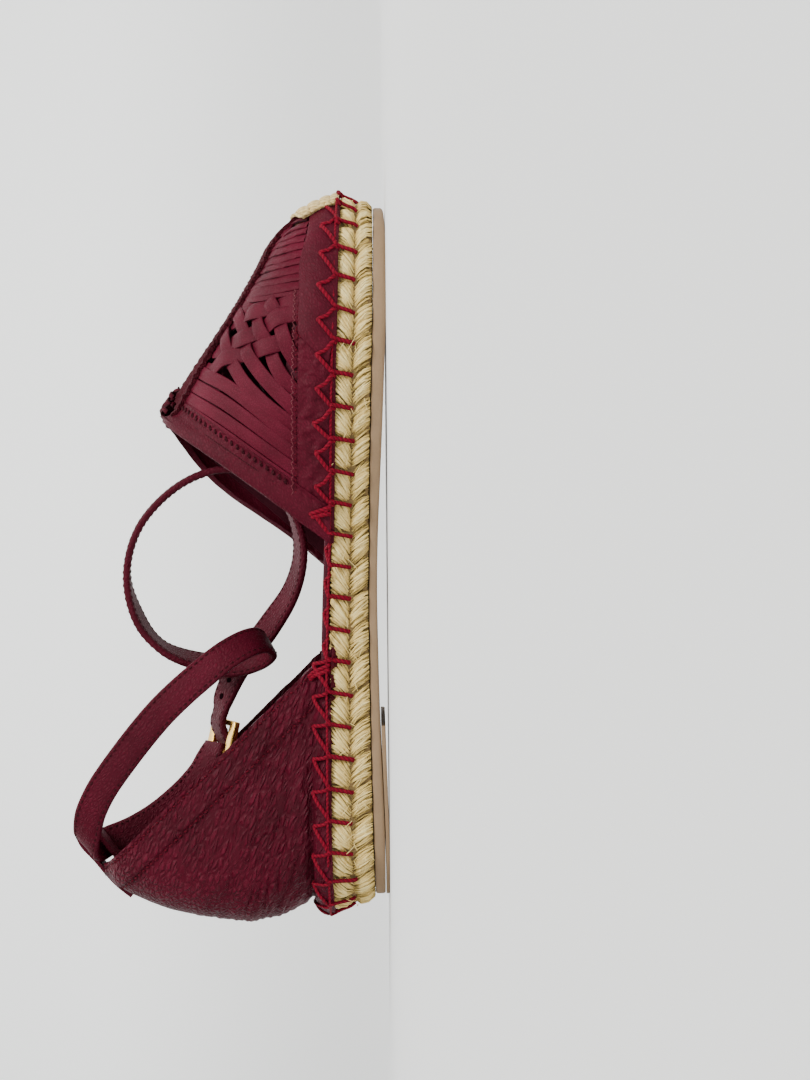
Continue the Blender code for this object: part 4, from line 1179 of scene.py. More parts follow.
def makeRidge():
    # band over the ridge, with pinked and ruffled edges
    def put(u, v):
        # v runs from the inner edge over the ridge to the outer edge
        share = ridge["start"] + (ridge["end"] - ridge["start"]) * u
        side = inside if v < 0.5 else outside
        far = abs(v - 0.5) * 2
        tooth = abs((u * ridge["teeth"]) % 1.0 - 0.5) * 2
        half = ridge["half"][side] - ridge["narrower"] * u - ridge["toothDepth"] * tooth
        half += 0.6 * wobble(u * 30, side * 7)
        edge = vampSides[side].ridgeAngle(share, half)
        angle = math.pi / 2 - (math.pi / 2 - edge) * far
        peak = ridge["peak"] - ridge["lower"] * u + ridge["endPeak"] * math.exp(-(u / 0.14) ** 2)
        lift = 1.15 + peak * (1 - far**1.6) + 0.6 * far**3 * wobble(u * 75, side * 3 + 5)
        lift += 1.1 * far**6 - 0.5 * math.exp(-((far - 0.7) / 0.14) ** 2)
        lift += 0.7 * wobble(u * 85, 2.0) * math.exp(-(far / 0.35) ** 2)
        return onVamp(side, share, min(angle, ridgeTop), lift)

    sewn("ridge_tip", [vampStrip(inside, ridge["tip"], ridge["tipWidth"])], flatProfile,
         "ridgeHideInShade")
    strip = closeUp(sheet("ridge_strip", ridge["teeth"] * ridge["perTooth"], 12, put, (80.0, 8.0)))
    thicken(strip, vamp["middle"], ridge["wall"])
    return finishPiece(strip, finishes["ridgeHideInShade"], angle=60)


makeRidge()


vampLining = {"behind": 1.2, "start": 0.02, "wall": 0.0006,
              "opening": ((164.0, 34.0), (212.0, 57.0))}      # x, z corners behind the weave


def makeVampLining():
    # dark inner skin behind the solid parts of the vamp
    low, high = (Vector(metres((x, 0, z))) for x, z in vampLining["opening"])
    for side in (inside, outside):
        def put(u, v, side=side):
            share = vampLining["start"] + (1 - vampLining["start"]) * u
            return onVamp(side, share, math.pi / 2 * v, -vampLining["behind"])

        skin = sheet(f"vamp_lining_{side}", 70, 24, put, (150.0, 60.0))
        shape = bmesh.new()
        shape.from_mesh(skin.data)
        middles = [(face, face.calc_center_median()) for face in shape.faces]
        bmesh.ops.delete(shape, context="FACES", geom=[
            face for face, at in middles if low.x < at.x < high.x and low.z < at.z < high.z])
        shape.to_mesh(skin.data)
        shape.free()
        thicken(skin, vamp["middle"], vampLining["wall"])
        finishPiece(skin, finishes["lining"], angle=60)


makeVampLining()
print("vamp made")


# toe patch in crochet

toePatch = {
    "half": 17.0, "flare": 6.0, "top": 31.4, "rows": 4, "loops": 17, "standOff": 1.5,
    "wall": 0.0008, "cord": 1.5, "rimCord": (1.4, 1.3), "out": (0.9, 0, 0.45), "scallops": 22,
    # route of the scalloped edge: up one side, along the top, down the other side
    "rim": [(-1, 0.0), (-1, 0.5), (-1, 1.0), (-0.6, 1.0), (-0.2, 1.0), (0.2, 1.0), (0.6, 1.0),
            (1, 1.0), (1, 0.5), (1, 0.0)]}


def toePatchPlace(u, v):
    # u across the toe from -1 to 1, v from the sole edge up
    side = inside if u < 0 else outside
    surface, spread = vampSides[side], abs(u)
    share = 1 - spread * (toePatch["half"] + toePatch["flare"] * v) / surface.length
    foot, top, _, full = surface.column(share)
    rise = (toePatch["top"] - 3.0 * spread**2 - foot.z) / (top.z - foot.z)
    angle = math.asin(min(rise, 0.9) ** (full / 2)) * v
    normal = surface.normal(share, angle)
    if spread < 0.15:
        straightOn = Vector((normal.x, 0, normal.z)).normalized()
        normal = straightOn.lerp(normal, spread / 0.15).normalized()
    return surface.point(share, angle), normal


def makeToePatch():
    stand, out = toePatch["standOff"], Vector(toePatch["out"])

    def put(u, v):
        point, normal = toePatchPlace(u * 2 - 1, v)
        return point + normal * (stand + 0.5)

    base = thicken(sheet("toe_patch_base", 40, 16, put, (30.0, 16.0)), (200.0, 0.0, 20.0),
                   toePatch["wall"])
    finishPiece(base, finishes["cotton"], ("toe_patch",), angle=60)
    lines = []
    rows, loops = toePatch["rows"], toePatch["loops"]
    for row in range(rows):
        for loop in range(loops):
            for lean in (-1, 1):
                line = []
                for i in range(6):
                    t = i / 5
                    u = (loop + 0.5 + lean * (0.44 - 0.40 * t)) / loops * 2 - 1
                    v = (row + 1.05 - 1.15 * t) / rows
                    point, normal = toePatchPlace(clamp(u, -1.0), clamp(v, 0.0, 1.04))
                    line.append(point + normal * (stand + 0.75 + 0.65 * math.sin(math.pi * t)))
                lines.append(threadLine(line, out, toePatch["cord"], steps=2, taper=True))
    rim = evenly(curve([Vector((u, v, 0)) for u, v in toePatch["rim"]], 8), toePatch["scallops"])
    for first, second in zip(rim, rim[1:]):
        line = []
        for i in range(7):
            t = i / 6
            place = first.lerp(second, t)
            point, normal = toePatchPlace(clamp(place.x, -1), clamp(place.y))
            middle, _ = toePatchPlace(place.x * 0.9, max(place.y - 0.1, 0))
            away = (point - middle).normalized()
            arch = math.sin(math.pi * t)
            line.append(point + away * arch * 1.1 + normal * (stand + 0.6 + 0.5 * arch))
        lines.append(threadLine(line, out, *toePatch["rimCord"], 2))
    return sewn("toe_patch_crochet", lines, roundProfile, "cotton")


makeToePatch()


# counter

counter = {
    "sections": [                   # z, x of the back, how far the sides lie inside the sole edge
        (19.0, 0.9, 0.9), (22.5, 1.8, 1.4), (25.5, 5.2, 3.4), (29.0, 2.4, 3.0), (35.0, -0.6, 3.4),
        (45.0, -2.8, 4.2), (56.0, -2.5, 5.2), (66.4, -0.8, 6.2), (77.0, 1.6, 7.8),
        (86.0, 5.0, 9.8), (92.7, 8.6, 12.2), (97.3, 13.4, 15.0)],
    # x of its front edge at the foot, and how far that lies back for each millimetre of height
    "frontFoot": 94.0, "slope": 0.962, "round": 31.0, "top": 97.3, "foot": 19.0, "peak": 1.6,
    # distances from the front edge: the two rows of stitches, and where the creases fade
    "hem": 1.5, "fold": 9.5, "fade": 7.0, "wall": 0.0020, "rim": 0.0005}


def counterPoint(z, across):
    # point on the counter, across from -1 at its inner front edge to 1 at its outer one, and
    # how far it lies ahead of the back, out of how much
    back = smooth(counter["sections"], 1, z)
    front = counter["frontFoot"] - counter["slope"] * (z - counter["foot"])
    span, share = front - back, abs(across)
    bend = min(counter["round"] / span, 1.0)
    x = span * (share**2 * bend + (share - share**2 * bend) * share)
    side = inside if across < 0 else outside
    edge = abs(smooth(shoe["outline"], 1 + side, max(back + x, counter["round"])))
    half = edge - smooth(counter["sections"], 2, z)
    around = min(x / counter["round"], 1.0)
    wide = half * (1 - (1 - around) ** 2.2) ** (1 / 2.2)
    return Vector((back + x, math.copysign(wide, across), z)), x, span


def counterNormal(z, across):
    low, high = max(across - 0.01, -1.0), min(across + 0.01, 1.0)
    ahead = counterPoint(z, high)[0] - counterPoint(z, low)[0]
    up = (counterPoint(min(z + 0.5, counter["top"]), across)[0]
          - counterPoint(max(z - 0.5, counter["foot"]), across)[0])
    normal = up.cross(ahead).normalized()
    centre = Vector((60.0, 0.0, z))
    return normal if normal.dot(counterPoint(z, across)[0] - centre) > 0 else -normal


def fromFront(x, span):
    # distance from the counter's front edge
    return (span - x) / math.hypot(1, counter["slope"])


def counterCrease(point, side, fromEdge):
    # long wrinkles that run forward and down to the sole, sharpest near the heel's foot
    lean, run = point.x * 0.34 + point.z * 0.94, point.x * 0.94 - point.z * 0.34
    low = clamp((72.0 - point.z) / 34.0) * clamp((point.z - 25.5) / 3.0)
    fine = max(0.0, 1 - 4.0 * abs(wobble(lean * 0.30 + 4, run * 0.055 + side * 3)))
    finer = max(0.0, 1 - 4.0 * abs(wobble(lean * 0.55 + 9, run * 0.08 + side * 5)))
    return min(fromEdge / counter["fade"], 1.0) * (
        0.55 * wobble(lean * 0.2, run * 0.04 + side * 3.0) * (0.4 + 0.6 * low)
        - (0.62 * fine + 0.36 * finer) * (0.12 + 0.88 * low))


def counterPeak(z, across):
    # how far the top edge is drawn up at the back
    rise = (z - counter["foot"]) / (counter["top"] - counter["foot"])
    return counter["peak"] * (1 - across**2) * max(0.0, (rise - 0.9) / 0.1)


def makeCounter():
    foot, top = counter["foot"], counter["top"]

    def put(u, v):
        across, z = u * 2 - 1, foot + (top - foot) * v
        point, x, span = counterPoint(z, across)
        normal = counterNormal(z, across)
        fromEdge = fromFront(x, span)
        # the lower band stands out round the heel, over a groove
        band = clamp((56.0 - point.x) / 4.0)
        lift = band * (1.1 * clamp(25.4 - z) - 0.6 * math.exp(-((z - 26.2) / 0.8) ** 2))
        if z > 25.0:
            # folded hem: a step where it ends, a groove at its stitches, a rolled rim
            lift += 0.75 / (1 + math.exp((fromEdge - counter["fold"]) * 4.0))
            lift -= 0.38 * math.exp(-((fromEdge - counter["hem"]) / 0.45) ** 2)
            lift -= 0.30 * math.exp(-((fromEdge - counter["fold"] - 0.5) / 0.6) ** 2)
        lift += counterCrease(point, inside if across < 0 else outside, fromEdge)
        point += normal * lift
        if v == 0.0:
            point.z = layer(juteTop, max(point.x, 0.0), -0.6)
        point.z += counterPeak(z, across)
        return point

    shell = sheet("counter_leather", 200, 130, put, (170.0, 80.0))
    closeUp(facesOut(shell, (45.0, 0.0, 50.0)), 0.00001)
    thicken(shell, (45.0, 0.0, 50.0), counter["wall"], counter["rim"], 3, 1.2)
    return finishPiece(shell, finishes["heelHide"], ("counter",), angle=60)


makeCounter()
print("counter made")


# strap, loop and buckle

strap = {
    "width": 10.5, "thick": 2.4, "lift": 2.7,
    "route": [                      # centre x, y, z, then the direction across the strap
        (50.2, 16.4, 65.4, 0.50, 0.42, 0.72), (44.5, 16.6, 68.6, 0.60, 0.30, 0.72),
        (37.9, 15.6, 74.6, 0.66, 0.06, 0.74),
        (31.0, 13.6, 83.0, 0.68, 0.00, 0.73), (26.2, 10.2, 91.6, 0.76, 0.00, 0.65),
        (23.6, 6.4, 99.2, 0.83, 0.00, 0.56), (22.4, 2.6, 102.0, 0.78, 0.00, 0.62),
        (22.6, -2.2, 102.8, 0.78, 0.00, 0.62), (25.2, -7.4, 104.4, 0.76, 0.00, 0.65),
        (31.0, -12.0, 103.6, 0.68, 0.00, 0.73), (39.0, -15.0, 101.2, 0.62, 0.00, 0.78),
        (50.6, -17.0, 94.4, 0.62, 0.00, 0.78), (71.4, -19.5, 77.8, 0.64, 0.02, 0.77),
        (86.8, -18.5, 60.8, 0.70, 0.26, 0.66), (93.2, -14.5, 51.6, 0.72, 0.42, 0.52),
        (95.2, -7.5, 45.0, 0.73, 0.47, 0.47), (92.4, 0.5, 42.6, 0.72, 0.47, 0.50),
        (88.4, 6.0, 47.4, 0.62, 0.46, 0.62), (85.6, 8.0, 57.2, 0.56, 0.50, 0.66),
        (87.2, 7.5, 69.0, 0.48, 0.70, 0.52), (92.0, 6.5, 80.5, 0.36, 0.86, 0.25),
        (101.8, 6.0, 88.6, 0.10, 0.97, -0.12), (118.0, 5.5, 93.0, -0.02, 0.99, 0.12),
        (135.0, 5.0, 88.4, 0.01, 0.98, 0.17), (148.6, 5.0, 75.6, 0.04, 0.99, 0.15),
        (154.8, 5.0, 60.0, 0.05, 0.99, 0.12), (151.6, 5.0, 45.0, 0.08, 0.99, 0.12),
        (140.0, 5.5, 35.0, 0.05, 0.96, 0.22), (126.5, 6.5, 31.6, 0.00, 0.92, 0.36),
        (112.5, 8.5, 34.6, 0.18, 0.84, 0.50), (99.0, 12.5, 43.0, 0.36, 0.66, 0.64),
        (84.6, 16.0, 54.0, 0.30, 0.62, 0.70), (73.6, 17.0, 59.6, 0.12, 0.70, 0.64)],
    "profile": [(-0.5, 0.0), (-0.5, 0.24), (-0.47, 0.42), (-0.42, 0.49), (-0.385, 0.43),
                (-0.34, 0.5), (-0.17, 0.55), (0.0, 0.56), (0.17, 0.55), (0.34, 0.5),
                (0.385, 0.43), (0.42, 0.49), (0.47, 0.42), (0.5, 0.24), (0.5, 0.0), (0.49, -0.32),
                (0.44, -0.48), (0.2, -0.5), (-0.2, -0.5), (-0.44, -0.48), (-0.49, -0.32)],
    "stations": 420, "roundEnd": (0.72, 0.9, 0.97),
    "stitch": 2.3, "inset": 1.25, "stitchSize": (0.62, 0.5),
    "holes": (24.0, 30.5, 37.0, 43.5, 50.0), "holeRadius": 0.85}
buckle = {
    "centre": (58.8, 17.8, 60.3), "along": (-0.96, -0.10, 0.20), "across": (0.05, 0.88, 0.47),
    "length": 21.0, "depth": 12.5, "opening": 12.0, "bar": 2.8, "thick": 2.4, "gap": 0.3,
    "prong": ((3.3, 2.35), (-5.8, 2.4)), "prongRadius": 0.8}


def buckleAxes():
    ahead = Vector(buckle["along"]).normalized()
    across = Vector(buckle["across"])
    across = (across - ahead * across.dot(ahead)).normalized()
    return ahead, across, ahead.cross(across)


def bucklePoint(ahead, across, out):
    ways = buckleAxes()
    return Vector(buckle["centre"]) + ways[0] * ahead + ways[1] * across + ways[2] * out


def strapStations():
    # the strap's stations, from its sewn end at the buckle round to its free end
    inner = buckle["depth"] / 2 - buckle["bar"] + buckle["gap"]
    across = buckleAxes()[1]
    lift = strap["lift"]
    broad = Vector((0.40, 0.55, 0.70))
    rows = [(bucklePoint(*place), across.lerp(broad, share)) for *place, share in (
        (2.6, 0, -2.4, 0.4), (5.2, 0, -2.7, 0.7))]
    rows += [(Vector(row[:3]), Vector(row[3:])) for row in strap["route"]]
    rows += [(bucklePoint(*place), across) for place in (
        (-inner - 5.5, 0, -lift - 0.2), (-inner, 0, -lift), (inner, 0, lift),
        (inner + 4.2, 0, lift + 0.3))]
    centres, ways = (curve([row[k] for row in rows], 14) for k in (0, 1))
    lengths, count = lengthsOf(centres), strap["stations"]
    points = evenly(centres, count)
    line = []
    for i, centre in enumerate(points):
        target = lengths[-1] * i / count
        k = clamp(bisect.bisect_right(lengths, target) - 1, 0, len(centres) - 2)
        t = (target - lengths[k]) / (lengths[k + 1] - lengths[k])
        way, ahead = ways[k].lerp(ways[k + 1], t), heading(points, i)
        across = (way - ahead * way.dot(ahead)).normalized()
        line.append((centre, across, ahead.cross(across), strap["width"], strap["thick"]))
    return line, lengths[-1]


strapLine, strapLength = strapStations()


def strapPlace(distance, across, out):
    # point on the strap: distance along it, across from -0.5 to 0.5, out from its middle
    first, second, part = between(strapLine, clamp(distance / strapLength))
    centre, way, away = (first[k].lerp(second[k], part) for k in (0, 1, 2))
    return centre + way * across * strap["width"] + away * out, away


def makeStrapStitches():
    stitches = []
    reach, pitch = strap["thick"] / 2, strap["stitch"]
    for face in (1, -1):
        for edge in (-1, 1):
            across = edge * (0.5 - strap["inset"] / strap["width"])
            for k in range(1, int(strapLength / pitch) - 1):
                start, end = (k + 0.18) * pitch, (k + 0.86) * pitch
                line = []
                for t in (0, 1 / 3, 2 / 3, 1):
                    height = reach - 0.16 + 0.2 * math.sin(math.pi * t)
                    line.append(strapPlace(start + (end - start) * t, across, face * height))
                stitches.append(threadLine([point for point, _ in line], line[1][1] * face,
                                           *strap["stitchSize"], 1, taper=True))
    return sewn("strap_stitches", stitches, fineProfile, "laceThread")


def makeStrapHoleShadows():
    # each hole is a rim and a disc, both painted dark as the shadow in it, on both faces
    holes = []
    reach, radius = strap["thick"] / 2, strap["holeRadius"]
    for fromEnd in strap["holes"]:
        place = strapLength - fromEnd
        _, away = strapPlace(place, 0, 0)
        for face in (-1, 1):
            rim = []
            for k in range(13):
                turn = 2 * math.pi * k / 12
                rim.append(strapPlace(place + radius * math.cos(turn),
                                      radius * math.sin(turn) / strap["width"],
                                      face * (reach + (0.08 if face > 0 else 0.02)))[0])
            holes.append(threadLine(rim, away, 0.5, 0.35, 1))
            centre, _ = strapPlace(place, 0, face * (reach + 0.04))
            holes.append(threadLine([centre - away * 0.3 * face, centre + away * 0.12 * face],
                                    strapLine[0][1], 1.5, steps=1))
    return sewn("strap_hole_shadows", holes, roundProfile, "hole", angle=40)


def makeStrap():
    line = list(strapLine)
    # its free end is cut round
    for k, slim in enumerate(strap["roundEnd"]):
        centre, across, out, width, thick = line[-1 - k]
        line[-1 - k] = (centre, across, out, width * slim, thick)
    sewn("ankle_strap_leather", [line], strap["profile"], "strapHide", replaces=("ankle_strap",))
    makeStrapStitches()
    makeStrapHoleShadows()


makeStrap()


heelLoop = {
    "width": 7.5, "thick": 1.7,
    "route": [                      # x, z, from its outer end over the strap to its inner end
        (6.0, 89.8), (9.8, 94.6), (14.0, 98.6), (18.6, 102.4), (23.8, 107.2), (28.0, 108.6),
        (29.9, 105.6), (27.6, 101.4), (22.0, 97.0), (17.8, 92.6), (13.9, 86.5)]}


def makeHeelLoop():
    centres = curve([Vector((x, 0.0, z)) for x, z in heelLoop["route"]], 8)
    across = Vector((0, 1, 0))
    line = [(centre, across, heading(centres, i).cross(across), heelLoop["width"],
             heelLoop["thick"]) for i, centre in enumerate(centres)]
    return sewn("heel_loop_leather", [line], stripProfile, "strapHide", replaces=("heel_loop",))


makeHeelLoop()


def makeBuckle():
    # frame: a plate inset, opened and bevelled, then laid in the buckle's own directions
    bpy.ops.object.select_all(action="DESELECT")
    bpy.ops.mesh.primitive_cube_add(size=1.0, location=(0, 0, 0))
    plate = bpy.context.object
    plate.name = plate.data.name = "buckle_frame_brass"
    half = Vector((buckle["depth"], buckle["length"], buckle["thick"])) / 2
    for vertex in plate.data.vertices:
        vertex.co = [math.copysign(reach, at) for reach, at in zip(half, vertex.co)]
    shape = bmesh.new()
    shape.from_mesh(plate.data)
    flat = [face for face in shape.faces if abs(face.normal.z) > 0.9]
    bmesh.ops.inset_individual(shape, faces=flat, thickness=buckle["bar"])
    flat = [face for face in shape.faces if abs(face.normal.z) > 0.9
            and face.calc_center_median().xy.length < 0.01]
    for face in flat:
        for vertex in face.verts:
            vertex.co.y = math.copysign(buckle["opening"] / 2, vertex.co.y)
    bmesh.ops.bridge_loops(shape, edges=[edge for face in flat for edge in face.edges])
    bmesh.ops.delete(shape, geom=[face for face in flat if face.is_valid], context="FACES_ONLY")
    shape.to_mesh(plate.data)
    shape.free()
    for vertex in plate.data.vertices:
        vertex.co = metres(bucklePoint(*vertex.co))
    closeUp(plate)
    applied(plate, "BEVEL", width=0.0006, segments=3, limit_method="ANGLE", angle_limit=0.5)
    finishPiece(plate, finishes["brass"], ("buckle_frame",), angle=35)
    (startAhead, startOut), (endAhead, endOut) = buckle["prong"]
    points = [bucklePoint(startAhead + (endAhead - startAhead) * t, 0,
                          startOut + (endOut - startOut) * t + 0.25 * math.sin(math.pi * t))
              for t in (0.0, 0.25, 0.5, 0.75, 1.0)]
    prong = threadLine(points, buckleAxes()[2], 2 * buckle["prongRadius"], taper=True)
    sewn("buckle_prong_brass", [prong], roundProfile, "brass", ("buckle_prong",))


makeBuckle()
print("strap and buckle made")


# threads

whip = {"width": 1.3, "bar": 1.45, "barThick": 1.15, "hole": 4.9, "feather": 0.6,
        # a bar's points: share on along the braid, share down from its top edge, out from it
        "barRoute": [(-0.02, -0.05, 0.45), (0.02, 0.08, 0.3), (0.06, 0.24, -0.1),
                     (0.11, 0.44, -0.45), (0.15, 0.56, -1.3)],
        # the rest is given for the heel first, then for the vamp: how far on from its bar
        # a stitch has its hole and its second foot, and how far out it meets its bar
        "ahead": (0.86, 0.56), "foot": (1.0, 0.90), "joint": (0.6, 1.0),
        "feet": [(0.0, 1.04, 1.0), (-0.02, 0.94, -0.2)],
        # at the waist: the hole in the footbed's rim, and both points of the second foot
        "waistHole": (0.42, 2.0), "waistFeet": [(0.62, 1.06, -0.1), (0.66, 1.02, -2.6)],
        # threads laid double where the counter and the vamp end, from (x, rise) to (x, rise)
        "ties": [((84.0, 7.4), (88.0, 0.4)), ((83.2, 6.8), (86.4, 0.4)),
                 ((138.6, 6.4), (140.6, 0.4)), ((137.6, 5.8), (138.6, 0.4))],
        "outerShift": 12.0}


def upperPlace(side, x, rise):
    # point on the upper's outside above the feather line at x, or none at the waist
    if x > vamp["rear"][side] + 1.0:
        surface = vampSides[side]

        def angleAt(share):
            return surface.bandAngle(share, max(rise, 0.1))

        share = halved(lambda share: surface.point(share, angleAt(share)).x < x)
        swell = math.sin(math.pi * min(0.12 + 0.76 * rise / vamp["bandTop"], 1.0)) ** 0.7
        return (onVamp(side, share, angleAt(share), 0.45 + 1.2 * swell),
                surface.normal(share, angleAt(share)))
    if x < counter["frontFoot"] - 2.0:
        z = counter["foot"] + 0.8 + rise
        sign = -1 if side == inside else 1
        across = sign * halved(lambda share: counterPoint(z, sign * share)[0].x < x)
        normal = counterNormal(z, across)
        return counterPoint(z, across)[0] + normal * 0.95, normal
    return None, None


def overUpper(side, start, end, steps=5):
    # points just over the leather between two places (x, rise)
    points = []
    for k in range(steps + 1):
        t = k / steps
        point, out = upperPlace(side, *(a + (b - a) * t for a, b in zip(start, end)))
        if point is None:
            return []
        points.append(point + out * (0.3 + 0.25 * math.sin(math.pi * t)))
    return points


def makeWhipStitches():
    # a bar down the braid at each lobe, and a slanting stitch with two legs over the upper
    lines = []
    rand = random.Random(11)
    lobes = braid["lobes"]
    for lobe in range(2 * lobes):
        place = lobe + braid["phase"]
        side = inside if place < lobes else outside
        bend = rand.uniform(-0.05, 0.05)
        length = rand.uniform(0.9, 1.05)
        bar = [ringPoint(place - d - bend * k / 4, 1.0 - r * length, out)[0]
               for k, (d, r, out) in enumerate(whip["barRoute"])]
        normal = ringPoint(place, 0.8, 0.0)[1]
        lines.append(threadLine(bar, normal, whip["bar"] * rand.uniform(0.9, 1.1),
                                whip["barThick"]))
        region = 0 if bar[0].x < counter["frontFoot"] else 1
        ahead = whip["ahead"][region] + rand.uniform(-0.06, 0.06)
        above = ringPoint(place + ahead, 1.0, 0.0)[0]
        high = whip["hole"] + rand.uniform(-0.45, 0.45)
        spot, out = upperPlace(side, above.x, high)
        feet, footPlace = whip["feet"], place + whip["foot"][region]
        if spot is None:
            # at the waist the thread holds the footbed's rim
            feet, footPlace = whip["waistFeet"], place
            spot, out = ringPoint(place + whip["waistHole"][0], 1.0,
                                  -straight(sole["footbedInset"], above.x) + 0.2)
            spot = spot + Vector((0, 0, whip["waistHole"][1]))
        foot, inner = (ringPoint(footPlace + d, r, reach)[0] for d, r, reach in feet)
        away = (out + normal).normalized()
        joint = bar[0] + normal * whip["joint"][region]
        hole, middle = spot - out * 0.9, spot.x + (foot.x - spot.x) * 0.35
        leg = overUpper(side, (spot.x, high), (joint.x, 0.3)) or [spot + away * 0.3]
        lines.append(threadLine([hole] + leg + [joint, bar[1] + normal * 0.2], away,
                                whip["width"], 0.9, 3))
        leg = overUpper(side, (spot.x, high), (middle, high * 0.45), 2)
        leg += overUpper(side, (middle, high * 0.45), (foot.x, 0.2), 2)[1:]
        lines.append(threadLine([hole] + (leg or [spot + away * 0.3]) + [foot, inner], away,
                                whip["width"] * 0.95, 0.85, 3))
    for side in (inside, outside):
        for start, end in whip["ties"]:
            if side == outside and start[0] > counter["frontFoot"]:
                start, end = ((x - whip["outerShift"], rise) for x, rise in (start, end))
            tie = overUpper(side, start, end, 3)
            if tie:
                out = upperPlace(side, *start)[1]
                lines.append(threadLine([tie[0] - out * 0.9] + tie + [tie[-1] - out * 0.9], out,
                                        whip["width"] * 1.1, 1.0, 3))
    # thread that lies along the feather line
    run = []
    for k in range(8 * lobes + 1):
        point, normal = ringPoint(k / 4, 1.03, 0.0)
        run.append(point + normal * (0.55 + 0.2 * math.sin(k * 1.7)) + Vector((0, 0, 0.35)))
    lines.append(threadLine(run, Vector((0, 0, 1)), whip["feather"], 0.8, 2))
    return sewn("whip_stitches", lines, roundProfile, "redThread")


makeWhipStitches()


def dashes(route, out, pitch, share, width, rise=0.25, thick=0.45):
    # running stitches along a line of points
    lengths = lengthsOf(route)
    count = int(lengths[-1] / pitch)
    lines = []
    for k in range(count):
        places = [(k + 0.5 + share * (t / 3 - 0.5)) / count for t in range(4)]
        points = []
        for t, place in enumerate(places):
            point = along(route, lengths, place)
            points.append(point + out(point) * (rise * math.sin(math.pi * t / 3) - 0.05))
        lines.append(threadLine(points, out(points[1]), width, thick, 1, taper=True))
    return lines


counterStitch = {"pitch": (2.1, 2.4), "lift": (0.62, 0.22), "foot": 26.0, "top": 94.5,
                 "share": 0.66, "width": 0.66}


def makeCounterStitches():
    lines = []
    foot, top = counterStitch["foot"], counterStitch["top"]
    for side, sign in ((inside, -1), (outside, 1)):
        for inset, pitch, stand in zip((counter["hem"], counter["fold"] + 0.5),
                                       counterStitch["pitch"], counterStitch["lift"]):
            route, ways = [], []
            for k in range(81):
                z = foot + (top - foot) * k / 80
                across = sign * halved(
                    lambda share: fromFront(*counterPoint(z, sign * share)[1:]) > inset)
                if abs(across) < 0.02:
                    break
                point, normal = counterPoint(z, across)[0], counterNormal(z, across)
                lift = stand + counterCrease(point, side, inset)
                route.append(point + normal * lift + Vector((0, 0, counterPeak(z, across))))
                ways.append(normal)

            def out(point, route=route, ways=ways):
                return ways[min(range(len(route)), key=lambda i: (route[i] - point).length)]

            lines += dashes(route, out, pitch, counterStitch["share"], counterStitch["width"],
                            0.28)
    return sewn("counter_stitches", lines, fineProfile, "darkThread")


makeCounterStitches()


vampStitch = {
    "start": 0.012, "groove": (206.0, 29.6), "zigzagEnd": (212.0, 31.0),    # x, z of their ends
    "grooveHeight": 11.6, "grooveSize": (1.75, 0.6, 0.55),                  # pitch, share, width
    "zigzagHeight": 12.6, "zigzagStep": 0.36, "zigzagPitch": 2.1, "zigzagSize": (0.24, 0.2),
    "lacePitch": 2.45, "laceHalf": 0.7, "laceSize": (1.0, 0.6), "seamSize": (0.5, 0.4)}


def cornerThread(side, out):
    # thread round the rear corner of the front band
    surface, line = vampSides[side], []
    for k in range(13):
        fromEnd = 7.0 * (1 - k / 12)
        high = max(bandEnd(fromEnd) + 0.2, 0.7)
        share = surface.find(foxing["front"], foxing["endFoot"] + high)[0]
        share += fromEnd / surface.length
        line.append(onVamp(side, share - 0.002, surface.bandAngle(share, high), 0.85))
    return threadLine(line, out(line[6]), 0.6, steps=2, taper=True)


def borderLacing(side, out):
    # slanting stitches over a groove of the border, and the seam beside them
    surface, lace, seam = vampSides[side], [], []
    end = surface.find(*vamp["rearTop"])[0]
    foot = surface.bandAngle(0.05, 14.5)
    for k in range(61):
        angle = foot + (math.pi / 2 - 0.16 - foot) * k / 60
        lace.append(onVamp(side, end * border["lace"], angle, 0.85))
        seam.append(onVamp(side, end * border["seam"], angle, 0.85))
    lines = [threadLine(seam, out, *vampStitch["seamSize"], 1, taper=True)]
    lengths = lengthsOf(lace)
    count = int(lengths[-1] / vampStitch["lacePitch"])
    for k in range(count):
        start, end = (along(lace, lengths, (k + part) / count) for part in (0.15, 0.75))
        normal = out(start)
        across = (end - start).normalized().cross(normal).normalized() * vampStitch["laceHalf"]
        a, b = start - across, end + across
        lines.append(threadLine([a - normal * 0.3, (a + b) / 2 + normal * 0.35, b - normal * 0.3],
                                normal, *vampStitch["laceSize"], 3, taper=True))
    return lines


def makeVampStitches():
    dark, pale, laces = [], [], []
    first = vampStitch["start"]
    for side in (inside, outside):
        surface = vampSides[side]

        def out(point, surface=surface):
            return surface.normal(*surface.find(point.x, point.z))

        dark.append(cornerThread(side, out))
        # dark running stitch in the groove above the band
        last, route = surface.find(*vampStitch["groove"])[0], []
        for k in range(101):
            share = first + (last - first) * k / 100
            angle = surface.bandAngle(share, vampStitch["grooveHeight"])
            route.append(onVamp(side, share, angle, 0.55))
        dark += dashes(route, out, *vampStitch["grooveSize"])
        # pale zigzag along the strips' cut ends
        last, zigzag = surface.find(*vampStitch["zigzagEnd"])[0], []
        steps = 2 * int(lengthsOf(route)[-1] / vampStitch["zigzagPitch"])
        for k in range(steps + 1):
            share = first + (last - first) * k / steps
            high = vampStitch["zigzagHeight"] + vampStitch["zigzagStep"] * (1 if k % 2 else -1)
            zigzag.append(onVamp(side, share, surface.bandAngle(share, high), 0.95))
        pale.append(threadLine(zigzag, out, *vampStitch["zigzagSize"], 2))
        laces += borderLacing(side, out)
    sewn("vamp_stitches", dark, fineProfile, "darkThread")
    sewn("vamp_lacing", laces, fineProfile, "laceThread")
    sewn("vamp_zigzag", pale, fineProfile, "paleThread")


makeVampStitches()


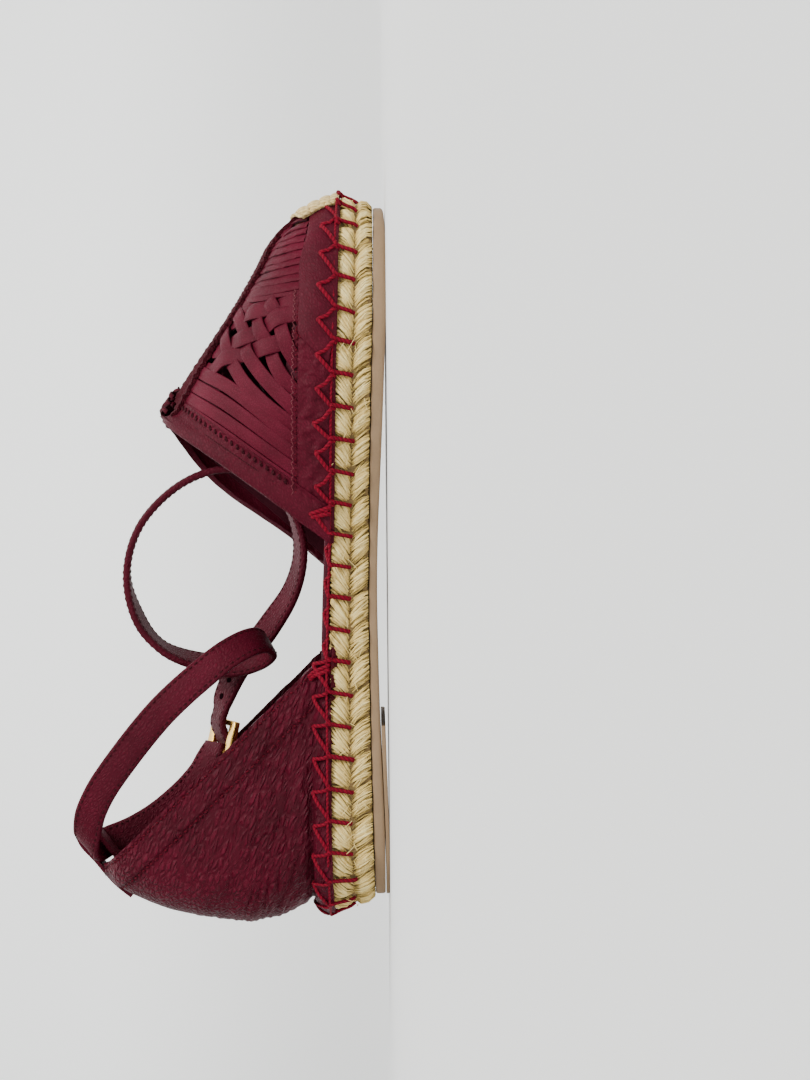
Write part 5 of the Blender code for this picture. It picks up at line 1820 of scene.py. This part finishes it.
knot = {"middle": (178.4, 0.2, 75.4), "ahead": (-0.80, 0.0, 0.60), "up": (0.60, 0.0, 0.80),
        "strands": 3, "turns": 1.8, "start": -5.0, "length": 11.0, "strandSize": (2.7, 2.1),
        "loops": 16, "loopSize": (1.9, 1.3)}


def makeRidgeKnot():
    # small plaited end of the ridge band, at the top of the vamp, with loops of strip in it
    rand = random.Random(5)
    middle, ahead, up = (Vector(knot[key]) for key in ("middle", "ahead", "up"))
    across = Vector((0, 1, 0))
    lines = []
    for strand in range(knot["strands"]):
        line = []
        for k in range(13):
            t = k / 12
            turn = 2 * math.pi * (t * knot["turns"] + strand / knot["strands"])
            line.append(middle + ahead * (knot["start"] + knot["length"] * t)
                        + across * 2.2 * math.sin(turn) + up * (0.5 + 1.5 * math.cos(turn)))
        lines.append(threadLine(line, up, *knot["strandSize"], 3, taper=True))
    for _ in range(knot["loops"]):
        start = middle + ahead * rand.uniform(-3.5, 4.0) + across * rand.uniform(-3.2, 1.6)
        start += up * rand.uniform(-1.2, 1.2)
        way = (ahead * rand.uniform(0.1, 1.0) + across * rand.uniform(-0.8, 0.8)).normalized()
        loop = [start + way * far + up * high
                for far, high in ((0, 0), (1.1, 1.1), (2.4, 0.9), (2.6, -0.3))]
        lines.append(threadLine(loop, up, *knot["loopSize"], 3))
    return sewn("ridge_knot", lines, fineProfile, "strip")


makeRidgeKnot()
print("threads made")


# floor, light and camera

# a pale floor that curves up into a wall; the wall gives a little light of its own
stage = {"front": -1.8, "back": 0.25, "bend": 0.45, "top": 2.2, "half": 2.2,
         "flatShare": 0.3, "bendShare": 0.4, "colour": (0.72, 0.73, 0.73),
         "glow": (0.745, 0.765, 0.76), "glowFrom": -0.05, "glowTo": 0.25,
         "sky": (0.95, 0.98, 1.0, 1.0), "skyStrength": 0.28}


def makeStage():
    flatShare, bendShare = stage["flatShare"], stage["bendShare"]
    bpy.ops.object.select_all(action="DESELECT")
    bpy.ops.mesh.primitive_grid_add(x_subdivisions=2, y_subdivisions=60, size=2)
    backdrop = bpy.context.object
    backdrop.name = "studio_sweep"
    for vertex in backdrop.data.vertices:
        share = (vertex.co.y + 1) / 2
        turn = clamp((share - flatShare) / bendShare) * math.pi / 2
        flat, climb = min(share / flatShare, 1.0), max(share - 0.7, 0.0) / 0.3
        vertex.co = Vector((
            vertex.co.x * stage["half"],
            stage["front"] + (stage["back"] - stage["front"]) * flat
            + stage["bend"] * math.sin(turn),
            stage["bend"] * (1 - math.cos(turn)) + (stage["top"] - stage["bend"]) * climb))
    bpy.ops.object.shade_smooth()
    finish = Finish("studio white", Specular_IOR_Level=0.1, Emission_Strength=1.0)
    _, _, high = finish.parts(finish.objectPlace())
    glow = finish.mix(high.step(stage["glowFrom"], stage["glowTo"]), (0.0, 0.0, 0.0),
                      stage["glow"])
    finish.tree.links.new(glow.socket, finish.shader.inputs["Emission Color"])
    backdrop.data.materials.append(finish.done(stage["colour"], 0.9))
    world = bpy.data.worlds.new("studio")
    bpy.context.scene.world = world
    world.use_nodes = True
    back = world.node_tree.nodes["Background"]
    back.inputs["Color"].default_value = stage["sky"]
    back.inputs["Strength"].default_value = stage["skyStrength"]


lights = [                          # name, place, aim, size, power
    ("soft key", (0.55, -0.62, 0.85), (0, 0, 0.03), 0.45, 17.0),
    ("front fill", (-0.45, -1.1, 0.35), (0, 0, 0.04), 0.8, 4.0),
    ("overhead", (0.0, 0.1, 1.1), (0, 0, 0), 1.2, 11.0)]


def makeLight(name, place, aim, size, power):
    light = bpy.data.lights.new(name, "AREA")
    light.size, light.energy, light.color = size, power, (1.0, 0.98, 0.95)
    lamp = bpy.data.objects.new(name, light)
    bpy.context.scene.collection.objects.link(lamp)
    lamp.location = place
    lamp.rotation_euler = (Vector(aim) - Vector(place)).to_track_quat("-Z", "Y").to_euler()


view = {"distance": 520.0, "height": 4.0, "centre": 129.5, "lens": 49.4, "sensor": 36.0,
        "shift": 0.025, "nearest": 0.01}


def makeCamera():
    # the camera lies at floor height beside the inner side, turned so that the toe is up
    data = bpy.data.cameras.new("camera")
    data.lens, data.sensor_width, data.shift_x = view["lens"], view["sensor"], view["shift"]
    data.clip_start = view["nearest"]
    camera = bpy.data.objects.new("camera", data)
    bpy.context.scene.collection.objects.link(camera)
    camera.rotation_euler = (math.pi / 2, math.pi / 2 + math.atan(shoe["slope"]), 0)
    camera.location = metres((view["centre"], -view["distance"], view["height"]))
    bpy.context.scene.camera = camera


makeStage()
for light in lights:
    makeLight(*light)
makeCamera()
print("light and camera set")
